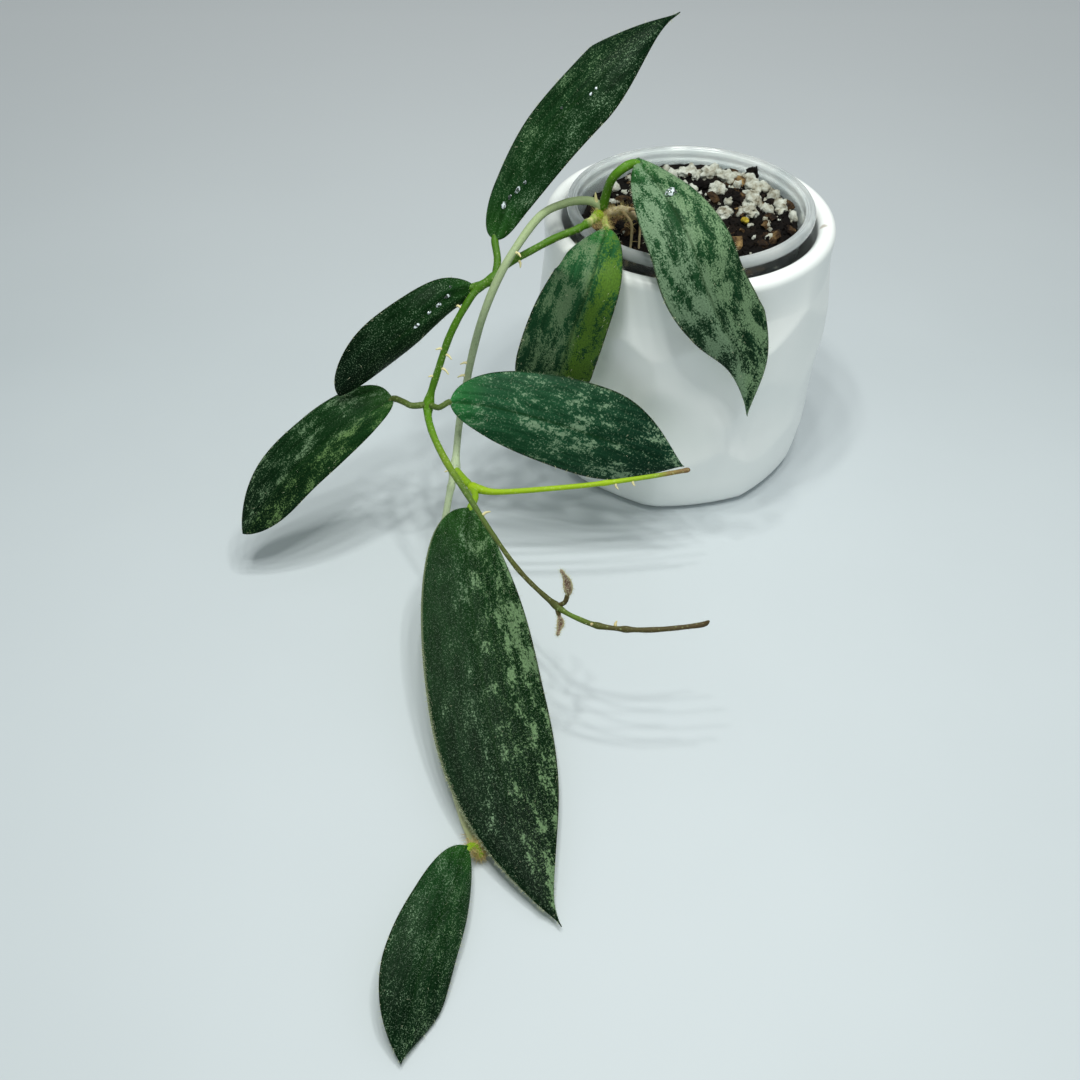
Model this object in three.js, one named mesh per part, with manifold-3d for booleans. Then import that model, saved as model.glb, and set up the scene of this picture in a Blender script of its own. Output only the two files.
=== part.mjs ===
// A potted hoya: a climbing houseplant with long, silver-splashed leaves. It grows in a clear
// plastic cup of chunky mix, and the cup stands inside a white glazed cover pot whose wall
// looks pressed in by hand. Two vines leave over the pot's left edge: a green one that arches
// through the air, and a pale one that runs down to the surface under the longest leaf.
//
// Millimetres, +Z up, +Y away from the viewer. The origin is the centre of the pot's foot.
import * as THREE from "three";
import { mergeVertices } from "three/addons/utils/BufferGeometryUtils.js";
import Module from "manifold-3d";

// ---------------------------------------------------------------- driving dimensions

const CLEARANCE = 0.3; // between pieces that touch on the real plant

const POT = {
  height: 102.6,
  rimRadius: 53,
  lipRadius: 3.25, // half the wall's thickness at the rolled top edge
  floor: 7,
  sides: 60,
};
// Shallow scoops pressed into the pot's wall, in staggered rows with a seeded jitter. They are
// wide enough to meet in soft ridges, which gives the wall its facets.
const DENT = { rows: 4, perRow: 9, depth: 2.4, reach: 21, jitter: 5, fade: 14, seed: 11 };

const CUP = {
  rimRadius: 45,
  neckRadius: 41.4,
  baseRadius: 34,
  wall: 1.2,
  height: 100.1,
  bead: 3.6, // height of the rolled rim
  sides: 36,
  drainHoles: 6,
  drainRadius: 3,
  drainCircle: 20,
};

// The mix is level with the cup's shoulder at the left and heaped towards the back right.
const MIX = { level: 97.5, riseX: 0.04, riseY: 0.1, rough: 0.9, sides: 32, rings: 8 };
const GRAINS = { count: 26, smallest: 1.8, largest: 3.6, spread: 34, seed: 5 };

const BLADE = {
  midThickness: 1.6,
  edgeThickness: 0.9,
  stations: 15,
  youngStations: 7,
  across: 5,
  leastHalf: 0.8, // half the width where the petiole joins, and at the very tip
};

// radii
const STEM = { green: 1.25, greenTip: 0.8, pale: 1.4, paleEnd: 1.2, shoot: 0.95, shootTip: 0.6 };
const PETIOLE = 1.35;
const OLD_STEM = 1.6;
const STEM_SIDES = 7;
const ROOT = { radius: 0.45, sunk: 0.7, sides: 4 }; // stubs of aerial roots

const cupBottom = POT.floor + CLEARANCE;
const cupTop = cupBottom + CUP.height;
const mixBottom = cupBottom + CUP.wall + CLEARANCE;

// The plant's joints. Each vine, petiole and leaf starts from one of them.
const FIRST_JOINT = [-33.5, -22, 113];
const SECOND_JOINT = [-70.5, -44, 101];
const THIRD_JOINT = [-94, -59.5, 60];
const TIP_JOINT = [-49.5, -142.5, 46];
const PALE_JOINT = [-85.5, -68.5, 38];
const FLOOR_JOINT = [-72, -203, 2.2];

// ---------------------------------------------------------------- solids

const wasm = await Module();
wasm.setup();

function toSolid(geometry) {
  const bare = geometry.clone();
  bare.deleteAttribute("normal");
  bare.deleteAttribute("uv");
  const merged = mergeVertices(bare, 1e-4);
  return new wasm.Manifold(
    new wasm.Mesh({
      numProp: 3,
      vertProperties: merged.attributes.position.array,
      triVerts: new Uint32Array(merged.index.array),
    }),
  );
}

function toGeometry(solid) {
  const mesh = solid.getMesh();
  const geometry = new THREE.BufferGeometry();
  geometry.setAttribute("position", new THREE.BufferAttribute(mesh.vertProperties, 3));
  geometry.setIndex(new THREE.BufferAttribute(mesh.triVerts, 1));
  return geometry;
}

const fuse = (geometries) =>
  toGeometry(geometries.map(toSolid).reduce((whole, piece) => whole.add(piece)));

const cut = (geometry, tools) =>
  toGeometry(tools.map(toSolid).reduce((whole, tool) => whole.subtract(tool), toSolid(geometry)));

// A repeatable draw of numbers from 0 to 1.
function seededRandom(seed) {
  let state = seed;
  return () => {
    state = (state * 16807) % 2147483647;
    return state / 2147483647;
  };
}

// A closed body through a row of rings, each with the same number of points, with a flat or
// domed cap on both ends. Where `mirrored` says so, a strip's quads are split the other way,
// so that the two faces of a thin blade are split alike.
function loft(rings, mirrored = () => false) {
  const count = rings[0].length;
  const positions = rings.flat().flatMap((p) => [p.x, p.y, p.z]);
  const index = [];
  for (let ring = 0; ring < rings.length - 1; ring++) {
    for (let side = 0; side < count; side++) {
      const a = ring * count + side;
      const b = ring * count + ((side + 1) % count);
      const c = b + count;
      const d = a + count;
      if (mirrored(side)) index.push(a, b, d, b, c, d);
      else index.push(a, b, c, a, c, d);
    }
  }
  for (const [ring, flip] of [[0, true], [rings.length - 1, false]]) {
    const centre = positions.length / 3;
    const middle = rings[ring].reduce((sum, p) => sum.add(p), new THREE.Vector3());
    middle.divideScalar(count);
    positions.push(middle.x, middle.y, middle.z);
    for (let side = 0; side < count; side++) {
      const a = ring * count + side;
      const b = ring * count + ((side + 1) % count);
      if (flip) index.push(b, a, centre);
      else index.push(a, b, centre);
    }
  }
  const geometry = new THREE.BufferGeometry();
  geometry.setAttribute("position", new THREE.Float32BufferAttribute(positions, 3));
  geometry.setIndex(index);
  return geometry;
}

// A ring of points about the pot's axis, whose radius and height may change round the turn.
function roundRing(sides, radiusAt, heightAt) {
  return Array.from({ length: sides }, (_, side) => {
    const turn = (side / sides) * 2 * Math.PI;
    const radius = radiusAt(turn);
    const x = radius * Math.cos(turn);
    const y = radius * Math.sin(turn);
    return new THREE.Vector3(x, y, heightAt(x, y));
  });
}

const smoothCurve = (points) =>
  new THREE.CatmullRomCurve3(
    points.map((p) => new THREE.Vector3(...p)),
    false,
    "catmullrom",
    0.5,
  );

// A round stem along a smooth curve. `radiusAt` gives its radius from start (0) to end (1).
function stem(points, radiusAt, step = 6, sides = STEM_SIDES) {
  const curve = smoothCurve(points);
  const steps = Math.max(2, Math.round(curve.getLength() / step));
  const frames = curve.computeFrenetFrames(steps, false);
  const rings = [];
  for (let i = 0; i <= steps; i++) {
    const centre = curve.getPointAt(i / steps);
    const radius = radiusAt(i / steps);
    rings.push(
      Array.from({ length: sides }, (_, side) => {
        const turn = (side / sides) * 2 * Math.PI;
        return centre
          .clone()
          .addScaledVector(frames.normals[i], radius * Math.cos(turn))
          .addScaledVector(frames.binormals[i], radius * Math.sin(turn));
      }),
    );
  }
  return loft(rings);
}

const even = (radius) => () => radius;
const taper = (start, end) => (t) => start + (end - start) * t;

// The swelling of a leaf joint.
function swelling(centre, radius, stretch = [1, 1, 1]) {
  const ball = new THREE.IcosahedronGeometry(radius, 1);
  ball.scale(...stretch);
  ball.translate(...centre);
  return ball;
}

// Short aerial roots that stand out of a vine. Each row gives how far along the vine the root
// is, the turn about the vine in degrees, and its length.
function rootStubs(points, vineRadius, stubs) {
  const curve = smoothCurve(points);
  const frameSteps = 200;
  const frames = curve.computeFrenetFrames(frameSteps, false);
  return stubs.map(([along, degrees, length]) => {
    const frame = Math.round(along * frameSteps);
    const turn = THREE.MathUtils.degToRad(degrees);
    const outwards = new THREE.Vector3()
      .addScaledVector(frames.normals[frame], Math.cos(turn))
      .addScaledVector(frames.binormals[frame], Math.sin(turn));
    const reach = length + ROOT.sunk;
    const cone = new THREE.ConeGeometry(ROOT.radius, reach, ROOT.sides);
    const up = new THREE.Vector3(0, 1, 0);
    cone.applyQuaternion(new THREE.Quaternion().setFromUnitVectors(up, outwards));
    const middle = vineRadius - ROOT.sunk + reach / 2;
    const centre = curve.getPointAt(frame / frameSteps).addScaledVector(outwards, middle);
    cone.translate(centre.x, centre.y, centre.z);
    return cone;
  });
}

// ---------------------------------------------------------------- cover pot

const dents = (() => {
  const random = seededRandom(DENT.seed);
  const places = [];
  for (let row = 0; row < DENT.rows; row++) {
    for (let n = 0; n < DENT.perRow; n++) {
      const turn = ((n + 0.5 * (row % 2)) / DENT.perRow) * 2 * Math.PI;
      const height = ((row + 0.5) / DENT.rows) * POT.height;
      places.push({
        turn: turn + ((random() - 0.5) * 2 * DENT.jitter) / POT.rimRadius,
        height: height + (random() - 0.5) * 2 * DENT.jitter,
        depth: DENT.depth * (0.6 + 0.8 * random()),
      });
    }
  }
  return places;
})();

function dentAt(turn, height) {
  let total = 0;
  for (const dent of dents) {
    const turned = Math.atan2(Math.sin(turn - dent.turn), Math.cos(turn - dent.turn));
    const across = turned * POT.rimRadius;
    const away = Math.hypot(across, height - dent.height) / DENT.reach;
    total += Math.max(0, dent.depth * (1 - away * away)) ** 4;
  }
  return total ** 0.25;
}

function ceramicPot() {
  const innerRadius = POT.rimRadius - 2 * POT.lipRadius;
  // radius and height up the outside, from the flat foot to where the lip turns over
  const outside = [
    [46.8, 0],
    [50.2, 1.6],
    [52.4, 5],
    [53.9, 11],
    [54.7, 18],
    [55.3, 26],
    [55.6, 34],
    [55.8, 42],
    [55.8, 50],
    [55.8, 58],
    [55.7, 66],
    [55.4, 74],
    [54.9, 82],
    [54.1, 90],
  ];
  const lipHeight = POT.height - POT.lipRadius;
  const rings = outside.map(([radius, height]) => {
    const dented = Math.min(1, (lipHeight - height) / DENT.fade);
    return roundRing(POT.sides, (turn) => radius - dented * dentAt(turn, height), () => height);
  });
  const lipSteps = 6;
  for (let i = 0; i <= lipSteps; i++) {
    const turn = (i / lipSteps) * Math.PI;
    const radius = POT.rimRadius - POT.lipRadius + POT.lipRadius * Math.cos(turn);
    const height = lipHeight + POT.lipRadius * Math.sin(turn);
    rings.push(roundRing(POT.sides, even(radius), () => height));
  }
  const inside = [
    [innerRadius, 60],
    [innerRadius - 0.8, 24],
    [innerRadius - 3.5, 11],
    [innerRadius - 8, POT.floor],
  ];
  for (const [radius, height] of inside) {
    rings.push(roundRing(POT.sides, even(radius), () => height));
  }
  return loft(rings);
}

// ---------------------------------------------------------------- growing cup and mix

function growingCup() {
  const beadBottom = cupTop - CUP.bead;
  const inner = CUP.neckRadius - CUP.wall;
  // radius and height, from the outside of the base, over the rolled rim, to the inside
  const profile = [
    [CUP.baseRadius, cupBottom],
    [CUP.baseRadius + 0.8, cupBottom + 1.5],
    [CUP.neckRadius - 1.6, beadBottom - 12],
    [CUP.neckRadius, beadBottom - 10],
    [CUP.neckRadius + 0.4, beadBottom],
    [CUP.rimRadius - 0.6, beadBottom - 0.4],
    [CUP.rimRadius, beadBottom + 1],
    [CUP.rimRadius - 0.5, cupTop - 0.6],
    [CUP.rimRadius - 1.8, cupTop],
    [CUP.neckRadius + 0.6, cupTop - 0.9],
    [inner + 0.4, beadBottom],
    [inner, beadBottom - 10],
    [inner - 1.6, beadBottom - 12],
    [CUP.baseRadius - CUP.wall + 0.8, cupBottom + 1.8 + CUP.wall],
    [CUP.baseRadius - CUP.wall - 0.4, cupBottom + CUP.wall],
  ];
  const shell = loft(profile.map(([r, z]) => roundRing(CUP.sides, even(r), () => z)));
  const holes = Array.from({ length: CUP.drainHoles }, (_, n) => {
    const turn = (n / CUP.drainHoles) * 2 * Math.PI;
    const drill = new THREE.CylinderGeometry(CUP.drainRadius, CUP.drainRadius, 6, 10);
    drill.rotateX(Math.PI / 2);
    drill.translate(
      CUP.drainCircle * Math.cos(turn),
      CUP.drainCircle * Math.sin(turn),
      cupBottom,
    );
    return drill;
  });
  return cut(shell, holes);
}

// The height of the mix: a gentle heap with the unevenness of coarse grains on it.
function mixLevel(x, y) {
  const coarse = Math.sin(0.5 * x + 2 * Math.sin(0.31 * y)) + Math.cos(0.62 * y - 0.4 * x);
  return MIX.level + MIX.riseX * x + MIX.riseY * y + (MIX.rough * coarse) / 2;
}

function pottingMix(stemsInIt) {
  const beadBottom = cupTop - CUP.bead;
  const inner = CUP.neckRadius - CUP.wall;
  const edge = inner - 1.6 - CLEARANCE;
  const shoulder = beadBottom - 13;
  const rings = [
    roundRing(MIX.sides, even(CUP.baseRadius - CUP.wall - 1), () => mixBottom),
    roundRing(MIX.sides, even(CUP.baseRadius - CUP.wall), () => mixBottom + 2.2),
    roundRing(MIX.sides, even(edge), () => shoulder),
  ];
  for (let ring = MIX.rings; ring > 0; ring--) {
    const radius = (edge * ring) / MIX.rings;
    rings.push(roundRing(MIX.sides, even(radius), mixLevel));
  }
  const draw = seededRandom(GRAINS.seed);
  const grains = [];
  while (grains.length < GRAINS.count) {
    const radius = GRAINS.spread * Math.sqrt(draw());
    const turn = 2 * Math.PI * draw();
    const size = GRAINS.smallest + (GRAINS.largest - GRAINS.smallest) * draw() ** 2;
    const x = radius * Math.cos(turn);
    const y = radius * Math.sin(turn);
    const grain = new THREE.IcosahedronGeometry(size, 0);
    grain.scale(1, 0.7 + 0.3 * draw(), 0.6 + 0.3 * draw());
    grain.rotateZ(Math.PI * draw());
    grain.translate(x, y, mixLevel(x, y) + 0.2 * size);
    grains.push(grain);
  }
  return cut(fuse([loft(rings), ...grains]), stemsInIt);
}

// ---------------------------------------------------------------- stems

const OLD_ROUTE = [
  [-13, 9, 74],
  [-13.5, 8, 88],
  [-16, 3, 96.5],
  [-19.5, -4, 103],
  [-25, -11, 108.6],
  [-31.6, -19.5, 112.4],
];

const oldStem = (grow = 0) =>
  stem(OLD_ROUTE, (t) => OLD_STEM + grow + 0.25 * Math.sin(5 * t), 4);

const OLD_ROOTS = [
  [[-24, -10, 107.5], [-21.5, -11.5, 109.3], [-19.2, -12.6, 106.5], [-19, -14, 96.2]],
  [[-26.5, -13.5, 109.5], [-24.5, -16.5, 109.5], [-22.4, -18.2, 106], [-22.6, -19, 95.8]],
  [[-20, -5, 103.2], [-17.3, -6.6, 104.4], [-14.6, -8.6, 101.5], [-14, -9.5, 97.2]],
];

function oldStemWithRoots() {
  const roots = OLD_ROOTS.map((route) => stem(route, taper(0.7, 0.45), 2.5, ROOT.sides));
  return fuse([oldStem(), ...roots]);
}

const GREEN_ROUTE = [
  FIRST_JOINT,
  [-41, -31.5, 113],
  [-49.5, -34, 110.5],
  [-58, -37.5, 107.5],
  [-65.5, -40.5, 104.5],
  SECOND_JOINT,
  [-75.5, -46, 98.5],
  [-80, -50.5, 94],
  [-85, -54.5, 86],
  [-89, -56.5, 75.5],
  THIRD_JOINT,
  [-92.5, -69.5, 56.5],
  [-86.5, -83, 53],
  [-78.5, -97.5, 50.5],
  [-70, -113, 48],
  [-60.5, -129, 46.5],
  TIP_JOINT,
  [-42.5, -148, 46],
  [-35, -151.5, 46.5],
  [-22, -153.5, 47.5],
  [-7, -152.5, 48.5],
  [-4, -152.5, 50.5],
];

// The green vine is full as far as the third joint and slender from there to its tip.
function greenRadius(t) {
  const fullTo = 0.5;
  const slenderFrom = 0.66;
  if (t < fullTo) return STEM.green;
  if (t > slenderFrom) return STEM.greenTip;
  return taper(STEM.green, STEM.greenTip)((t - fullTo) / (slenderFrom - fullTo));
}

const petiole = (route, radius = PETIOLE) => stem(route, even(radius), 3);

function greenVine() {
  const bud = 0.7; // radius of the stalks of the young leaves
  return fuse([
    stem(GREEN_ROUTE, greenRadius, 6),
    swelling(FIRST_JOINT, 2.6, [1.2, 1, 1]),
    swelling(SECOND_JOINT, 2.1, [1, 1, 1.3]),
    swelling(THIRD_JOINT, 2.2, [1.4, 1, 1]),
    swelling(TIP_JOINT, 1.4),
    petiole(
      [
        [-33.2, -21.6, 114],
        [-32, -22, 121],
        [-30.5, -23.5, 126.5],
        [-27.5, -23.5, 129.8],
        [-24.6, -21.9, 130.7],
      ],
    ),
    petiole([[-33, -22, 113], [-32.5, -25.5, 112], [-32.1, -28.3, 111.2]]),
    petiole([[-69.5, -42.5, 101.5], [-69, -38, 105], [-69.85, -32.9, 108.3]]),
    petiole([[-72.5, -45, 99.8], [-75.6, -44.6, 98.8]]),
    petiole(
      [
        [-94, -59.5, 60],
        [-99.5, -61, 60.5],
        [-102.5, -59.5, 60.9],
        [-106, -56.8, 60.3],
      ],
      1.2,
    ),
    petiole(
      [
        [-94, -59.5, 60],
        [-90.5, -63.3, 61.5],
        [-88.7, -63.6, 62.4],
        [-87, -62.4, 62.9],
      ],
      1.1,
    ),
    stem([TIP_JOINT, [-47, -142.8, 48], [-46.4, -142.2, 49.4]], even(bud), 2, 6),
    stem([TIP_JOINT, [-48.8, -144.7, 44.8]], even(bud), 2, 6),
    ...rootStubs(GREEN_ROUTE, STEM.green, [
      [0.05, 250, 1.2],
      [0.08, 70, 1.2],
      [0.16, 290, 2.6],
      [0.3, 180, 3],
      [0.38, 20, 2.2],
      [0.4, 190, 2.4],
      [0.42, 330, 2.2],
      [0.6, 40, 2.6],
    ]),
    ...rootStubs(GREEN_ROUTE, STEM.greenTip, [
      [0.85, 300, 1],
      [0.89, 120, 1],
    ]),
  ]);
}

const PALE_ROUTE = [
  [-35.4, -21.2, 116.7],
  [-39, -20.5, 117.2],
  [-46, -22.5, 117.2],
  [-54.5, -30, 116.5],
  [-63, -43.5, 111.5],
  [-69, -49.8, 103.2],
  [-74, -53, 91.5],
  [-78, -50.5, 76],
  [-81, -50.5, 62],
  [-84, -56, 48],
  PALE_JOINT,
  [-88, -78.5, 29],
  [-91, -91.5, 14],
  [-91, -121.5, 5],
  [-85.5, -161.5, 2.2],
  [-78.5, -188.5, 1.9],
  FLOOR_JOINT,
];

function paleVine() {
  const fork = [-79.5, -78.5, 38.5];
  return fuse([
    stem(PALE_ROUTE, taper(STEM.pale, STEM.paleEnd), 6.5),
    swelling(PALE_JOINT, 2.3, [1, 1, 1.2]),
    swelling(FLOOR_JOINT, 1.9),
    stem([PALE_JOINT, [-82, -75, 38.5], fork], taper(1.5, 1.9), 3),
    petiole([fork, [-77.3, -84.4, 38.8], [-78.75, -89.55, 38.1]]),
    petiole([FLOOR_JOINT, [-74, -201.3, 5], [-75.4, -201.6, 7.1]]),
    ...rootStubs(PALE_ROUTE, STEM.paleEnd, [
      [0.13, 200, 1.4],
      [0.2, 30, 1.6],
      [0.36, 150, 2.6],
      [0.4, 320, 1.6],
      [0.47, 100, 2.4],
      [0.49, 250, 2.4],
      [0.97, 120, 2.6],
    ]),
  ]);
}

const SHOOT_ROUTE = [
  [-76.1, -81, 39],
  [-68.5, -83, 39.5],
  [-47.5, -83, 41.5],
  [-33.5, -82.5, 43],
  [-16, -80.5, 44.5],
  [-2, -78.5, 46],
];

function newShoot() {
  return fuse([
    stem(SHOOT_ROUTE, taper(STEM.shoot, STEM.shootTip), 5, 6),
    swelling([-2, -78.5, 46], 0.9),
    ...rootStubs(SHOOT_ROUTE, STEM.shootTip, [
      [0.6, 180, 1],
      [0.64, 270, 1.6],
      [0.74, 260, 1.6],
    ]),
  ]);
}

// ---------------------------------------------------------------- leaves

// How wide half a blade is at `t` from base (0) to tip (1), as a share of its widest. `widest`
// says where that is, `blunt` rounds the base off, `full` keeps the blade broad towards the
// tip, and `drawn` draws the tip out to a point.
function outline(t, widest, blunt, full, drawn) {
  if (t < widest) return (1 - ((widest - t) / widest) ** 2) ** blunt;
  return (1 - ((t - widest) / (1 - widest)) ** full) ** drawn;
}

// One blade: a thick, arched body about its midrib. `facing` is where its upper face looks at
// the base and at the tip, and `twist` turns it further about the midrib, in degrees.
// `left` and `right` are [greatest half-width, widest, blunt, full, drawn] for each half.
function leafBlade({ midrib, facing, twist, arch, left, right, thickness = 1, stations }) {
  const curve = smoothCurve(midrib);
  const [facingBase, facingTip] = facing.map((f) => new THREE.Vector3(...f));
  const rings = [];
  for (let station = 0; station <= stations; station++) {
    const t = 0.5 - 0.5 * Math.cos((station / stations) * Math.PI);
    const centre = curve.getPointAt(t);
    const along = curve.getTangentAt(t);
    const side = along.clone().cross(facingBase.clone().lerp(facingTip, t)).normalize();
    const normal = side.clone().cross(along);
    const turn = THREE.MathUtils.degToRad(twist[0] + (twist[1] - twist[0]) * t);
    const across = side.clone().multiplyScalar(Math.cos(turn));
    across.addScaledVector(normal, Math.sin(turn));
    const up = normal.clone().multiplyScalar(Math.cos(turn));
    up.addScaledVector(side, -Math.sin(turn));
    const upper = [];
    const lower = [];
    for (let n = 0; n < BLADE.across; n++) {
      const v = (2 * n) / (BLADE.across - 1) - 1;
      const [width, ...form] = v < 0 ? left : right;
      const half = Math.max(width * outline(t, ...form), BLADE.leastHalf * thickness);
      const thick = BLADE.midThickness + (BLADE.edgeThickness - BLADE.midThickness) * v * v;
      const middle = centre.clone().addScaledVector(across, half * v);
      middle.addScaledVector(up, -arch * half * v * v);
      upper.push(middle.clone().addScaledVector(up, (thickness * thick) / 2));
      lower.unshift(middle.clone().addScaledVector(up, (-thickness * thick) / 2));
    }
    rings.push([...lower, ...upper]);
  }
  return loft(rings, (edge) => edge < BLADE.across);
}

const TOWARDS_VIEWER = [0, -0.75, 0.65];
const UPWARDS = [0, 0, 1];

const LEAVES = {
  leaf_top: {
    midrib: [
      [-70, -32, 109],
      [-64, -27, 123],
      [-53, -25, 141],
      [-36, -19, 158],
      [-21, -10, 168],
      [-10, -2, 172],
    ],
    facing: [TOWARDS_VIEWER, TOWARDS_VIEWER],
    twist: [16, 9],
    arch: 0.22,
    left: [10.6, 0.7, 0.3, 1.2, 1.41],
    right: [10.9, 0.57, 0.47, 1.7, 1.7],
  },
  leaf_rim: {
    midrib: [
      [-22, -19, 131],
      [-15, -41, 130],
      [-7, -55, 121],
      [-2, -60, 109],
      [5, -61, 95],
      [14, -61, 78],
      [18, -65, 59],
    ],
    facing: [[0, -0.3, 1], [0.1, -0.9, 0.4]],
    twist: [-2, -9],
    arch: 0.12,
    left: [15.1, 0.71, 0.64, 1.2, 1.14],
    right: [13.9, 0.48, 0.76, 1.9, 1.7],
  },
  leaf_front: {
    midrib: [
      [-32, -29, 111],
      [-35, -44, 111],
      [-38, -53, 104],
      [-43, -51, 86],
      [-48, -49, 64],
      [-53, -51, 41],
    ],
    facing: [[0, -0.5, 1], [0, -0.95, 0.3]],
    twist: [-10, 3],
    arch: 0.22,
    left: [11.6, 0.73, 0.43, 1.7, 1.04],
    right: [16.5, 0.7, 0.45, 2.2, 0.85],
  },
  leaf_upper_left: {
    midrib: [[-77, -44, 98], [-86, -52, 98], [-97, -59, 92], [-111, -60, 80], [-125, -60, 64]],
    facing: [[0, -0.5, 1], [0, -0.7, 0.7]],
    twist: [40, 40],
    arch: 0.45,
    left: [6.4, 0.65, 0.3, 2.2, 0.68],
    right: [9.4, 0.57, 0.49, 1.8, 0.5],
  },
  leaf_left: {
    midrib: [
      [-107, -56, 60],
      [-117.5, -62.5, 57],
      [-130.5, -69.5, 50.5],
      [-145.5, -76, 39],
      [-162.5, -84, 20],
    ],
    facing: [[0, -0.6, 1], [-0.2, -0.7, 0.7]],
    twist: [8, 3],
    arch: 0.12,
    left: [9.6, 0.57, 0.52, 2.8, 0.75],
    right: [12.6, 0.38, 0.3, 3.1, 0.79],
  },
  leaf_centre: {
    midrib: [[-86, -62, 63], [-70, -64, 62], [-48, -67, 57], [-23, -69, 48], [-3, -71, 41]],
    facing: [[0, -0.7, 0.7], [0, -0.8, 0.6]],
    twist: [-11, -17],
    arch: 0.22,
    left: [16.8, 0.58, 0.47, 2.3, 1.27],
    right: [16.2, 0.57, 0.53, 2.6, 1.26],
  },
  leaf_long: {
    midrib: [
      [-79, -90, 38],
      [-79.5, -107.5, 33],
      [-75.5, -137, 23],
      [-69, -169.5, 13.5],
      [-62, -196.5, 9],
      [-54.5, -215.5, 5],
      [-48.5, -224.5, 2],
    ],
    facing: [[0, -0.2, 1], UPWARDS],
    twist: [20, -4],
    arch: 0.1,
    left: [19.9, 0.43, 0.52, 3, 1.46],
    right: [18.2, 0.47, 0.4, 2.5, 1.48],
  },
  leaf_lower: {
    midrib: [
      [-76, -203, 8],
      [-80.5, -221.5, 11],
      [-85, -234.5, 10],
      [-88.5, -248.5, 7],
      [-90.5, -261.5, 2],
    ],
    facing: [UPWARDS, UPWARDS],
    twist: [32, 28],
    arch: 0.2,
    left: [9.6, 0.65, 0.64, 3, 1.64],
    right: [10.8, 0.59, 0.43, 1.9, 0.94],
  },
};

// The two young leaves at the last joint are still folded up along their midribs.
const YOUNG_LEAVES = {
  young_leaf_1: {
    midrib: [[-46.2, -141.8, 50], [-46, -141.4, 51.5], [-46.5, -139.7, 54.5], [-48.4, -137.9, 57.5]],
    facing: [TOWARDS_VIEWER, TOWARDS_VIEWER],
    twist: [0, 0],
    arch: -0.5,
    thickness: 0.75,
    left: [1.9, 0.5, 0.6, 2, 1.1],
    right: [1.9, 0.5, 0.6, 2, 1.1],
  },
  young_leaf_2: {
    midrib: [[-48.7, -145.1, 44.4], [-48.3, -146.7, 43], [-48.8, -148.5, 42], [-49.3, -150.4, 41]],
    facing: [TOWARDS_VIEWER, TOWARDS_VIEWER],
    twist: [0, 0],
    arch: -0.5,
    thickness: 0.75,
    left: [1.4, 0.5, 0.6, 2, 1.1],
    right: [1.4, 0.5, 0.6, 2, 1.1],
  },
};

// ---------------------------------------------------------------- the plant in its pot

const finish = (color, roughness, extra = {}) =>
  new THREE.MeshStandardMaterial({ color, roughness, metalness: 0, ...extra });

const glaze = finish("#e9eef0", 0.25);
const clearPlastic = finish("#c9d2d8", 0.2, { transparent: true, opacity: 0.45 });
const mix = finish("#241a15", 0.95);
const bark = finish("#8a7146", 0.8);
const greenBark = finish("#4f8a1e", 0.5);
const paleBark = finish("#b5c8a4", 0.55);
const newGrowth = finish("#9cc81f", 0.5);
const blade = finish("#24462c", 0.4);
const youngBlade = finish("#76604e", 0.7);

function piece(name, geometry, material) {
  const mesh = new THREE.Mesh(geometry, material);
  mesh.name = name;
  return mesh;
}

const holder = new THREE.Group();
holder.add(piece("ceramic_pot", ceramicPot(), glaze));
holder.add(piece("growing_cup", growingCup(), clearPlastic));
holder.add(piece("potting_mix", pottingMix([oldStem(CLEARANCE)]), mix));

const plant = new THREE.Group();
plant.add(piece("old_stem", oldStemWithRoots(), bark));
plant.add(piece("green_vine", greenVine(), greenBark));
plant.add(piece("pale_vine", paleVine(), paleBark));
plant.add(piece("new_shoot", newShoot(), newGrowth));
for (const [name, leaf] of Object.entries(LEAVES)) {
  plant.add(piece(name, leafBlade({ ...leaf, stations: BLADE.stations }), blade));
}
for (const [name, leaf] of Object.entries(YOUNG_LEAVES)) {
  plant.add(piece(name, leafBlade({ ...leaf, stations: BLADE.youngStations }), youngBlade));
}

const pottedHoya = new THREE.Group();
pottedHoya.add(holder, plant);

export default pottedHoya;
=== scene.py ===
# %% [markdown]
# # A potted hoya
#
# This lesson dresses a potted climbing houseplant: a white glazed cover pot, a clear growing cup
# filled with chunky mix, and a hoya whose two vines hang over the pot's left edge. The solids of
# the plant are already there, in metres, with the origin at the centre of the pot's foot, +Z up
# and +Y away from the viewer. Each main piece below takes the place of one of those solids, at
# its real size and in its real place. Grains, roots, hairs and drops are added to them.

# %% The solids that the lesson dresses
import math

import bpy
import numpy as np
from mathutils import Matrix, Vector, noise


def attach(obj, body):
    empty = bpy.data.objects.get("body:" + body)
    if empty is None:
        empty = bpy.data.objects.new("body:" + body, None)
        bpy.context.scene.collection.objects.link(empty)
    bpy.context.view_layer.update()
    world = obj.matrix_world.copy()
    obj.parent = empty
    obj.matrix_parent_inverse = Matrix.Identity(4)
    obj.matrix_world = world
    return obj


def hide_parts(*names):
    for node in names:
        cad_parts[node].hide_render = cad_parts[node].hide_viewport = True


MM = 0.001
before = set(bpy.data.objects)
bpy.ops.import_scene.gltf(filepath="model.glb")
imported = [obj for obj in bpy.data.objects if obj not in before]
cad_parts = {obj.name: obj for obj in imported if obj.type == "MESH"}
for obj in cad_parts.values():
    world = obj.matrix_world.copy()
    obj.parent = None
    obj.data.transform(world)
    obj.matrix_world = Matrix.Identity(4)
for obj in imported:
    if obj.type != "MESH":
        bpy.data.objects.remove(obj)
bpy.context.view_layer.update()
print("solids to dress:", len(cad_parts))

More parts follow.
